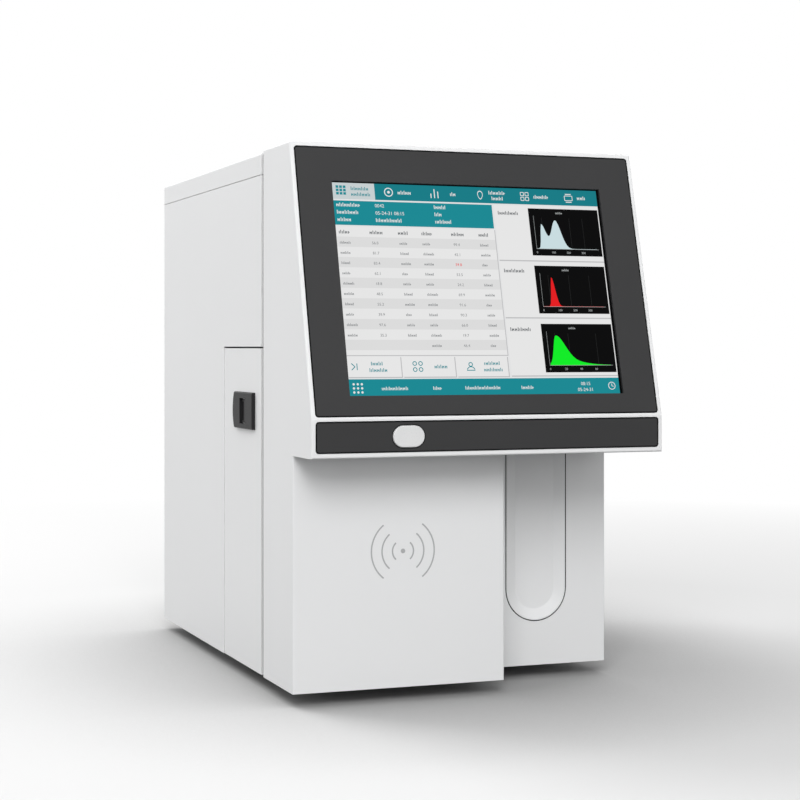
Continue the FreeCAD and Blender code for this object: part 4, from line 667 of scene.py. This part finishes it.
def picture_table(palette):
    """Two columns of results with plain figures, on rows of two pale greys."""
    relief = screen_relief()
    top = PICTURE_TOP - HEADER - STRIP - 2 * GUTTER
    row_height = (top - ROWS_FOOT) / ROWS
    relief.rectangle(PICTURE_LEFT, TABLE_LINE, SPLIT, top, "picture_white", FIELD)
    figures = [f"{(37 * i * i + 11 * i + 5) % 97 + 3}.{(7 * i + 3) % 10}" for i in range(2 * ROWS)]
    for row in range(ROWS):
        foot = top - (row + 1) * row_height
        if row % 2:
            relief.rectangle(PICTURE_LEFT, foot, SPLIT, foot + row_height, "picture_row", ON_FIELD)
        base = foot + row_height * 0.3
        for column in range(2):
            u = (2.8 + column * 62.6) * MM
            if row == 0:
                for start, length in ((0, 9), (23, 11), (44.5, 8)):
                    word(relief, u + start * MM, base, length * MM, "picture_dark", ON_TILE, WORD)
            elif column == 1 or row < ROWS - 1:
                table_row(relief, row, column, u, base, figures[row + column * ROWS])
    relief.rectangle(PICTURE_LEFT, TABLE_LINE - SHADE, SPLIT, TABLE_LINE, "picture_shade", FIELD)
    relief.rectangle(SPLIT, TABLE_LINE - SHADE, SPLIT + SHADE, top, "picture_shade", FIELD)
    relief.build("picture_table", "housing", palette)


def table_row(relief, row, column, u, base, figure):
    """A word, a figure and a second word. One figure of the table is marked in red."""
    first = 6 + (row * 3 + column) % 4
    second = 5 + (row * 5 + column) % 4
    marked = column == 1 and row == 3
    word(relief, u, base, first * MM, "picture_grey", ON_TILE, WORD_SMALL)
    word(relief, u + 45 * MM, base, second * MM, "picture_grey", ON_TILE, WORD_SMALL)
    relief.number(
        figure, u + 24 * MM, base, FIGURE_SMALL, "picture_red" if marked else "picture_grey", ON_TILE)


def picture_buttons(palette):
    """Three pale touch fields in a row under the table, each with a pictogram and words."""
    relief = screen_relief()
    teal = "picture_teal"
    low, high = BUTTONS
    width = (SPLIT - PICTURE_LEFT) / 3
    middle = (low + high) / 2
    for index in range(3):
        left = PICTURE_LEFT + index * width
        relief.rectangle(
            left + 1.0 * MM, low - 0.7 * MM, left + width, high - 0.6 * MM, "picture_shade", FIELD)
        relief.rectangle(left, low, left + width - 0.7 * MM, high, "picture_white", ON_FIELD)
    # Each word's field, then its start from the field's left, its foot from the middle and its length
    words = ((0, 18, 0.9, 10), (0, 16.5, -3.8, 14), (1, 24.5, -1.4, 11), (2, 22, 0.9, 13),
             (2, 21.5, -3.8, 15))
    for index, across, foot, length in words:
        u = PICTURE_LEFT + index * width + across * MM
        word(relief, u, middle + foot * MM, length * MM, teal, ON_TILE, WORD)
    stroke = 0.6 * MM
    half = 2.4 * MM
    u = 5.5 * MM
    arrow = [(u - 2 * MM, middle + half), (u + stroke, middle), (u - 2 * MM, middle - half)]
    relief.line(arrow, stroke, teal, ON_TILE)
    relief.rectangle(u + 1.8 * MM, middle - half, u + half, middle + half, teal, ON_TILE)
    u += width
    for i in (-1, 1):
        for j in (-1, 1):
            relief.ring(
                u + (6.5 + i * 2.2) * MM, middle + j * 2.2 * MM, 1.7 * MM, stroke, teal, ON_TILE, steps=16)
    u += width + 6.0 * MM
    relief.ring(u, middle + 1.4 * MM, 1.7 * MM, stroke, teal, ON_TILE, steps=16)
    relief.ring(u, middle - 3.4 * MM, 3.4 * MM, stroke, teal, ON_TILE, 20, 160, 14)
    relief.rectangle(u - 3.2 * MM, middle - 3.2 * MM, u + 3.2 * MM, middle - 2.6 * MM, teal, ON_TILE)
    relief.build("picture_buttons", "housing", palette)


def bell(x, centre, rise, fall):
    """Bell curve about a centre, with a width of its own on each side."""
    width = rise if x < centre else fall
    return math.exp(-((x - centre) / width) ** 2)


def pale_curve(x):
    return 0.78 * bell(x, 0.10, 0.03, 0.09) + 0.92 * bell(x, 0.34, 0.11, 0.11)


def red_curve(x):
    return 0.93 * bell(x, 0.17, 0.035, 0.06)


def green_curve(x):
    return 0.88 * bell(x, 0.13, 0.07, 0.2) + 0.1 * bell(x, 0.4, 0.3, 0.3)


def draw_plot(relief, u0, v0, curve, colour, guide, tick_step):
    """A filled curve with its axes, three faint guides, one at a share of the width, and plain figures."""
    axis = "picture_axis"
    top = v0 + PLOT_HEIGHT
    word(relief, PLOT_TITLE, top - 5.5 * MM, 17 * MM, "picture_dark", ON_FIELD, WORD_LARGE)
    relief.rectangle(u0, v0, u0 + PLOT_WIDTH, top, "picture_black", ON_FIELD)
    word(relief, u0 + 22 * MM, top - 4 * MM, 6 * MM, axis, ON_TILE, 1.7 * MM)
    base = v0 + AXES_FOOT
    start = u0 + AXES_LEFT
    width = PLOT_WIDTH - AXES_SIDES
    height = PLOT_HEIGHT - AXES_ENDS
    steps = 60
    outline = [(start, base)]
    for index in range(steps + 1):
        share = index / steps
        outline.append((start + width * share, base + 0.12 * MM + height * curve(share)))
    outline.append((start + width, base))
    relief.shape(outline, colour, FRONT)
    axis_u = start - 0.6 * MM
    axis_v = base - 0.15 * MM
    relief.line([(axis_u, base + height * 1.06), (axis_u, base - 0.3 * MM)], 0.18 * MM, axis, ON_TILE)
    relief.line([(axis_u, axis_v), (start + width + 1.4 * MM, axis_v)], 0.25 * MM, axis, FRONT)
    for share in (0.12, guide, 0.8):
        u = start + width * share
        relief.line([(u, base), (u, base + height)], 0.14 * MM, "picture_faint", ON_TILE)
    for tick in range(4):
        u = start + width * tick / 4 - 1.0 * MM
        relief.number(str(tick * tick_step), u, base - 3.6 * MM, 1.6 * MM, axis, ON_TILE)


def picture_plots(palette):
    """Three distribution curves on black fields in the right column."""
    relief = screen_relief()
    top = PICTURE_TOP - HEADER - GUTTER
    foot = PICTURE_FOOT + FOOTER + GUTTER / 2
    right = PICTURE_RIGHT
    plots = (
        (pale_curve, "picture_ice", 100), (red_curve, "picture_red", 100), (green_curve, "picture_green", 20))
    pitch = (top - foot) / len(plots)
    for index, (curve, colour, tick_step) in enumerate(plots):
        low = top - (index + 1) * pitch
        relief.rectangle(PANEL_LEFT, low + PANEL_GAP, right, low + pitch, "picture_white", FIELD)
        relief.rectangle(PANEL_LEFT, low + SHADE, right, low + PANEL_GAP, "picture_shade", FIELD)
        u0 = right - PLOT_WIDTH - 0.7 * MM
        v0 = top - 1.8 * MM - index * PLOT_PITCH - PLOT_HEIGHT
        draw_plot(relief, u0, v0, curve, colour, 0.58 - 0.12 * index, tick_step)
    relief.build("picture_plots", "housing", palette)


def display_picture():
    """The lit picture behind the bezel, in four pieces that share one palette."""
    colours = {
        "picture_black": (0.0012, 0.0012, 0.0014),
        "picture_ground": (0.78, 0.785, 0.79),
        "picture_teal": (0.010, 0.255, 0.30),
        # The header's teal, darker than the strip's by painted shade from the bezel
        "picture_teal_bezel_shade": (0.008, 0.205, 0.245),
        "picture_tab": (0.58, 0.64, 0.65),
        "picture_white": (0.81, 0.81, 0.81),
        "picture_row": (0.73, 0.73, 0.73),
        "picture_shade": (0.50, 0.50, 0.51),
        "picture_dark": (0.10, 0.11, 0.12),
        "picture_grey": (0.22, 0.23, 0.24),
        "picture_red": (0.80, 0.012, 0.015),
        "picture_green": (0.004, 0.86, 0.02),
        "picture_ice": (0.60, 0.74, 0.77),
        "picture_axis": (0.40, 0.42, 0.42),
        "picture_faint": (0.035, 0.037, 0.037),
    }
    palette = {name: glowing(name, colour) for name, colour in colours.items()}
    picture_frame(palette)
    picture_table(palette)
    picture_buttons(palette)
    picture_plots(palette)


# Contactless reader's sign: a dot and three arcs on each side, printed on the lower front

def reader_sign():
    relief = Relief(Vector((SIGN_X, PANEL_Y, SIGN_Z)), TO_RIGHT, UPWARD, FORWARD, PRINT_LAYER)
    relief.disc(0, 0, SIGN_DOT, "ink", 0)
    for radius, opening in SIGN_ARCS:
        for side in (0, 180):
            relief.ring(0, 0, radius * MM, SIGN_STROKE, "ink", 0, side - opening, side + opening, 24)
    ink = printed_ink("sign_ink", (0.41, 0.415, 0.42))
    relief.build("reader_sign", "housing", {"ink": ink})


# Painted shade: dark lines where the bezel, the band and the start button meet the shell, for the shadow in
# their gaps

def gap_shadow_lines(finishes):
    palette = {"gap": finishes["gap"]}
    low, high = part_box("display_bezel")
    bezel_top = (high.z - FACE_Z) / math.cos(FACE_TILT)
    relief = Relief(Vector((0, FACE_Y, FACE_Z)), TO_RIGHT, FACE_UP, FACE_OUT, PRINT_LAYER)
    relief.border(low.x, BEZEL_FOOT, high.x, bezel_top, BEZEL_CORNER, GAP_SHADE_LINE, "gap")
    relief.build("bezel_gap_shade", "housing", palette)

    low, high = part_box("front_band")
    button_low, button_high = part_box("start_button")
    middle = (button_low + button_high) / 2
    relief = Relief(Vector((0, low.y, 0)), TO_RIGHT, UPWARD, FORWARD, PRINT_LAYER)
    relief.border(low.x, low.z, high.x, high.z, BEZEL_CORNER, GAP_SHADE_LINE, "gap")
    reach = PILL_WIDTH / 2 + GAP_SHADE_LINE
    rise = PILL_HEIGHT / 2 + GAP_SHADE_LINE
    relief.border(
        middle.x - reach, middle.z - rise, middle.x + reach, middle.z + rise, rise, GAP_SHADE_LINE / 2, "gap")
    relief.build("band_gap_shade", "housing", palette)


def trough_gap_shade(finishes):
    """Painted shade: a dark strip in the gap along both sides and round the foot of the bay's U-shaped
    insert.
    """
    low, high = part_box("probe_trough")
    centre = low.z + TROUGH_FLANGE
    steps = 32
    paths = []
    for radius in TROUGH_SHADE_RADII:
        path = [(-radius, high.z)]
        for index in range(steps + 1):
            angle = math.pi * (1 + index / steps)
            path.append((radius * math.cos(angle), centre + radius * math.sin(angle)))
        path.append((radius, high.z))
        paths.append(path)
    origin = Vector(((low.x + high.x) / 2, low.y + TROUGH_SHADE_BACK, 0))
    relief = Relief(origin, TO_RIGHT, UPWARD, FORWARD, TROUGH_SHADE_THICKNESS)
    relief.shape(paths[0] + paths[1][::-1], "gap")
    relief.build("trough_gap_shade", "housing", {"gap": finishes["gap"]})


# Small fittings that the solids carry no detail for

def islands(node):
    """Lowest and highest corners of each separate solid of a node, in a fixed order."""
    mesh = bmesh.new()
    mesh.from_mesh(frame["nodes"][node].data)
    bmesh.ops.remove_doubles(mesh, verts=mesh.verts, dist=1e-7)
    left = set(mesh.verts)
    boxes = []
    for vert in mesh.verts:
        if vert not in left:
            continue
        left.remove(vert)
        reached = [vert]
        for known in reached:
            for edge in known.link_edges:
                other = edge.other_vert(known)
                if other in left:
                    left.remove(other)
                    reached.append(other)
        low = Vector([min(v.co[axis] for v in reached) for axis in range(3)])
        high = Vector([max(v.co[axis] for v in reached) for axis in range(3)])
        boxes.append((low, high))
    mesh.free()
    return sorted(boxes, key=lambda box: tuple(round(c, 5) for c in box[0]))


def screw_slots(finishes):
    """Crossed slots in the heads of the case screws, drawn as dark strokes of painted shade, each screw
    turned a little further than the last.
    """
    length, width = SCREW_SLOT
    for index, (low, high) in enumerate(islands("case_screws")):
        middle = (low + high) / 2
        relief = Relief(Vector((middle.x, high.y, middle.z)), TO_LEFT, UPWARD, BACKWARD, PRINT_LAYER)
        turn = math.radians(SCREW_TURN + SCREW_TURN_STEP * index)
        for angle in (turn, turn + math.pi / 2):
            reach = (length / 2 * math.cos(angle), length / 2 * math.sin(angle))
            relief.line([(-reach[0], -reach[1]), reach], width, "slot", 0)
        relief.build(f"screw_slot_{index + 1}", "housing", {"slot": finishes["gap"]})


def lathe(name, body, profile, centre, axis, material, steps=40):
    """Ring turned from a closed profile of radius and height about an axis."""
    side = UPWARD if abs(axis.z) < 0.5 else TO_RIGHT
    across = axis.cross(side)
    mesh = bmesh.new()
    rings = []
    for index in range(steps):
        angle = 2 * math.pi * index / steps
        spoke = side * math.cos(angle) + across * math.sin(angle)
        rings.append([mesh.verts.new(centre + spoke * radius + axis * height) for radius, height in profile])
    for ring, after in zip(rings, rings[1:] + rings[:1]):
        for index in range(len(profile)):
            following = (index + 1) % len(profile)
            face = mesh.faces.new([ring[index], ring[following], after[following], after[index]])
            face.smooth = True
    piece = new_piece(name, body, mesh, [material])
    piece.data.set_sharp_from_angle(angle=math.radians(35))
    return piece


def spigot_rings():
    """Coloured rings that tell the four fluid spigots apart, each with its number printed above it."""
    inner, outer, width = SPIGOT_RING
    profile = [
        (inner, 0), (outer, 0), (outer, width - RING_EDGE), (outer - RING_EDGE, width),
        (inner + RING_EDGE, width), (inner, width - RING_EDGE)]
    middles = [(low + high) / 2 for low, high in islands("fluid_fittings")]
    numbers = Relief(Vector((0, REAR_PANEL_Y, middles[0].z)), TO_LEFT, UPWARD, BACKWARD, PRINT_LAYER)
    for index, middle in enumerate(middles):
        finish = finish_surface(
            f"ring_plastic_{index + 1}", RING_COLOURS[index], 0.4, grain=(0.0005, 0.00001))
        foot = Vector((middle.x, REAR_PANEL_Y + SPIGOT_FLANGE, middle.z))
        ring = lathe(f"spigot_ring_{index + 1}", "housing", profile, foot, BACKWARD, finish)
        left = -middle.x - PORT_NUMBER_LEFT
        numbers.number(str(index + 1), left, PORT_NUMBER_RISE, PORT_NUMBER_SIZE, "ink")
    ink = printed_ink("port_ink", (0.12, 0.125, 0.13))
    numbers.build("port_numbers", "housing", {"ink": ink})


def barrel_scales():
    """Graduations printed round the front of the two syringe barrels."""
    ink = printed_ink("scale_ink", (0.02, 0.022, 0.025))
    first, last = BARREL_SCALE
    for index, (low, high) in enumerate(islands("syringe_barrels")):
        radius = BARREL_RADII[index] + MARK_LIFT
        centre = (low + high) / 2
        mesh = bmesh.new()
        for mark in range(BARREL_MARKS):
            z = low.z + first + (last - first) * mark / (BARREL_MARKS - 1)
            reach = math.radians(SHORT_MARK if mark % LONG_MARK_EVERY else LONG_MARK)
            arc_strip(mesh, centre, radius, z, MARK_HEIGHT, math.pi - reach, math.pi + reach)
        piece = new_piece(f"barrel_scale_{index + 1}", "housing", mesh, [ink])


def arc_strip(mesh, centre, radius, z, height, start, end, steps=10):
    """A thin closed strip that lies round an upright cylinder from one angle to another."""
    outside = radius + PRINT_LAYER
    section = ((radius, 0), (outside, 0), (outside, height), (radius, height))
    foot = Vector((centre.x, centre.y, z))
    rings = []
    for index in range(steps + 1):
        angle = start + (end - start) * index / steps
        spoke = Vector((math.cos(angle), math.sin(angle), 0))
        rings.append([mesh.verts.new(foot + spoke * reach + UPWARD * rise) for reach, rise in section])
    for ring, after in zip(rings, rings[1:]):
        for index in range(len(section)):
            following = (index + 1) % len(section)
            mesh.faces.new([ring[index], ring[following], after[following], after[index]])
    mesh.faces.new(rings[0])
    mesh.faces.new(rings[-1][::-1])


# Stage: pale floor, soft studio light and the photograph's camera

def seen_directly(tree):
    """One where a ray comes from the camera, a reflection or a clear surface, else zero."""
    path = tree.nodes.new("ShaderNodeLightPath")
    value = path.outputs[SEEN_RAYS[0]]
    for kind in SEEN_RAYS[1:]:
        node = tree.nodes.new("ShaderNodeMath")
        node.operation = "MAXIMUM"
        tree.links.new(value, node.inputs[0])
        tree.links.new(path.outputs[kind], node.inputs[1])
        value = node.outputs["Value"]
    return value


def studio_floor():
    """Pale floor that keeps the shadow near the instrument, deepened there by painted shade, and fades to
    plain white further off.
    """
    mesh = bpy.data.meshes.new("floor")
    corners = [(FLOOR_REACH * x, FLOOR_REACH * y, 0) for x, y in ((-1, -1), (1, -1), (1, 1), (-1, 1))]
    mesh.from_pydata(corners, [], [(0, 1, 2, 3)])
    floor = bpy.data.objects.new("floor", mesh)
    bpy.context.scene.collection.objects.link(floor)
    material, tree, shader, coordinates = new_material("floor_pale")
    pale = spread(tree, noise(tree, coordinates, 0.8), 0, 1)
    tone = blend_colours(tree, pale, FLOOR_SEEN, darker(FLOOR_SEEN, 0.01))
    # Painted contact shadow: the floor's colour darkens where ambient occlusion finds the instrument close by
    near = tree.nodes.new("ShaderNodeAmbientOcclusion")
    near.inputs["Distance"].default_value = CONTACT_REACH
    open_share = spread(tree, near.outputs["AO"], CONTACT_LEAST, 1, CONTACT_START, 1)
    tree.links.new(blend_colours(tree, open_share, (0, 0, 0), tone), shader.inputs["Base Color"])
    shader.inputs["Roughness"].default_value = 0.9
    shader.inputs["Specular IOR Level"].default_value = 0.1
    bounce = tree.nodes.new("ShaderNodeBsdfDiffuse")
    bounce.inputs["Color"].default_value = FLOOR_BOUNCE
    distance = tree.nodes.new("ShaderNodeVectorMath")
    distance.operation = "LENGTH"
    tree.links.new(coordinates, distance.inputs[0])
    far = spread(tree, distance.outputs["Value"], 0, 1, *FLOOR_FADE)
    white = tree.nodes.new("ShaderNodeEmission")
    fade = tree.nodes.new("ShaderNodeMixShader")
    tree.links.new(far, fade.inputs["Fac"])
    tree.links.new(shader.outputs["BSDF"], fade.inputs[1])
    tree.links.new(white.outputs["Emission"], fade.inputs[2])
    seen = tree.nodes.new("ShaderNodeMixShader")
    tree.links.new(seen_directly(tree), seen.inputs["Fac"])
    tree.links.new(bounce.outputs["BSDF"], seen.inputs[1])
    tree.links.new(fade.outputs["Shader"], seen.inputs[2])
    tree.links.new(seen.outputs["Shader"], tree.nodes["Material Output"].inputs["Surface"])
    mesh.materials.append(material)


def studio_world():
    """White where it is seen or mirrored, and otherwise a soft dome that is brightest near the horizon."""
    world = bpy.data.worlds.new("studio")
    bpy.context.scene.world = world
    world.use_nodes = True
    tree = world.node_tree
    split = tree.nodes.new("ShaderNodeSeparateXYZ")
    tree.links.new(tree.nodes.new("ShaderNodeTexCoord").outputs["Generated"], split.inputs["Vector"])
    dome = spread(tree, split.outputs["Z"], DOME_HORIZON, DOME_ZENITH, 0.0, 1.0)
    plain = tree.nodes["Background"]
    dome_light = tree.nodes.new("ShaderNodeBackground")
    tree.links.new(dome, dome_light.inputs["Strength"])
    dome_light.inputs["Color"].default_value = (1, 1, 1, 1)
    plain.inputs["Color"].default_value = (1, 1, 1, 1)
    plain.inputs["Strength"].default_value = 1.0
    mix = tree.nodes.new("ShaderNodeMixShader")
    tree.links.new(seen_directly(tree), mix.inputs["Fac"])
    tree.links.new(dome_light.outputs["Background"], mix.inputs[1])
    tree.links.new(plain.outputs["Background"], mix.inputs[2])
    tree.links.new(mix.outputs["Shader"], tree.nodes["World Output"].inputs["Surface"])


def area_lamp(name, place, aim, size, power):
    lamp = bpy.data.lights.new(name, "AREA")
    lamp.shape = "SQUARE"
    lamp.size = size
    lamp.energy = power
    holder = bpy.data.objects.new(name, lamp)
    bpy.context.scene.collection.objects.link(holder)
    holder.location = place
    holder.rotation_euler = (Vector(aim) - Vector(place)).to_track_quat("-Z", "Y").to_euler()


def lamps():
    area_lamp("lamp_rear_left", place=(-1.0, 1.6, 2.0), aim=(0, 0, 0.1), size=1.3, power=37)
    area_lamp("lamp_front", place=(-0.85, -2.1, 1.5), aim=(0, 0, 0.15), size=1.2, power=34)


def camera():
    data = bpy.data.cameras.new("camera")
    data.lens = CAMERA_LENS
    data.sensor_width = CAMERA_SENSOR
    data.shift_y = CAMERA_SHIFT
    holder = bpy.data.objects.new("camera", data)
    holder.location = CAMERA_PLACE
    holder.rotation_euler = (math.radians(90), 0, math.radians(CAMERA_TURN))
    bpy.context.scene.collection.objects.link(holder)
    bpy.context.scene.camera = holder


finishes = build_finishes()
dress_frame(finishes)
display_picture()
reader_sign()
gap_shadow_lines(finishes)
trough_gap_shade(finishes)
screw_slots(finishes)
spigot_rings()
barrel_scales()
studio_floor()
studio_world()
lamps()
camera()
bpy.context.scene.view_settings.view_transform = "Standard"
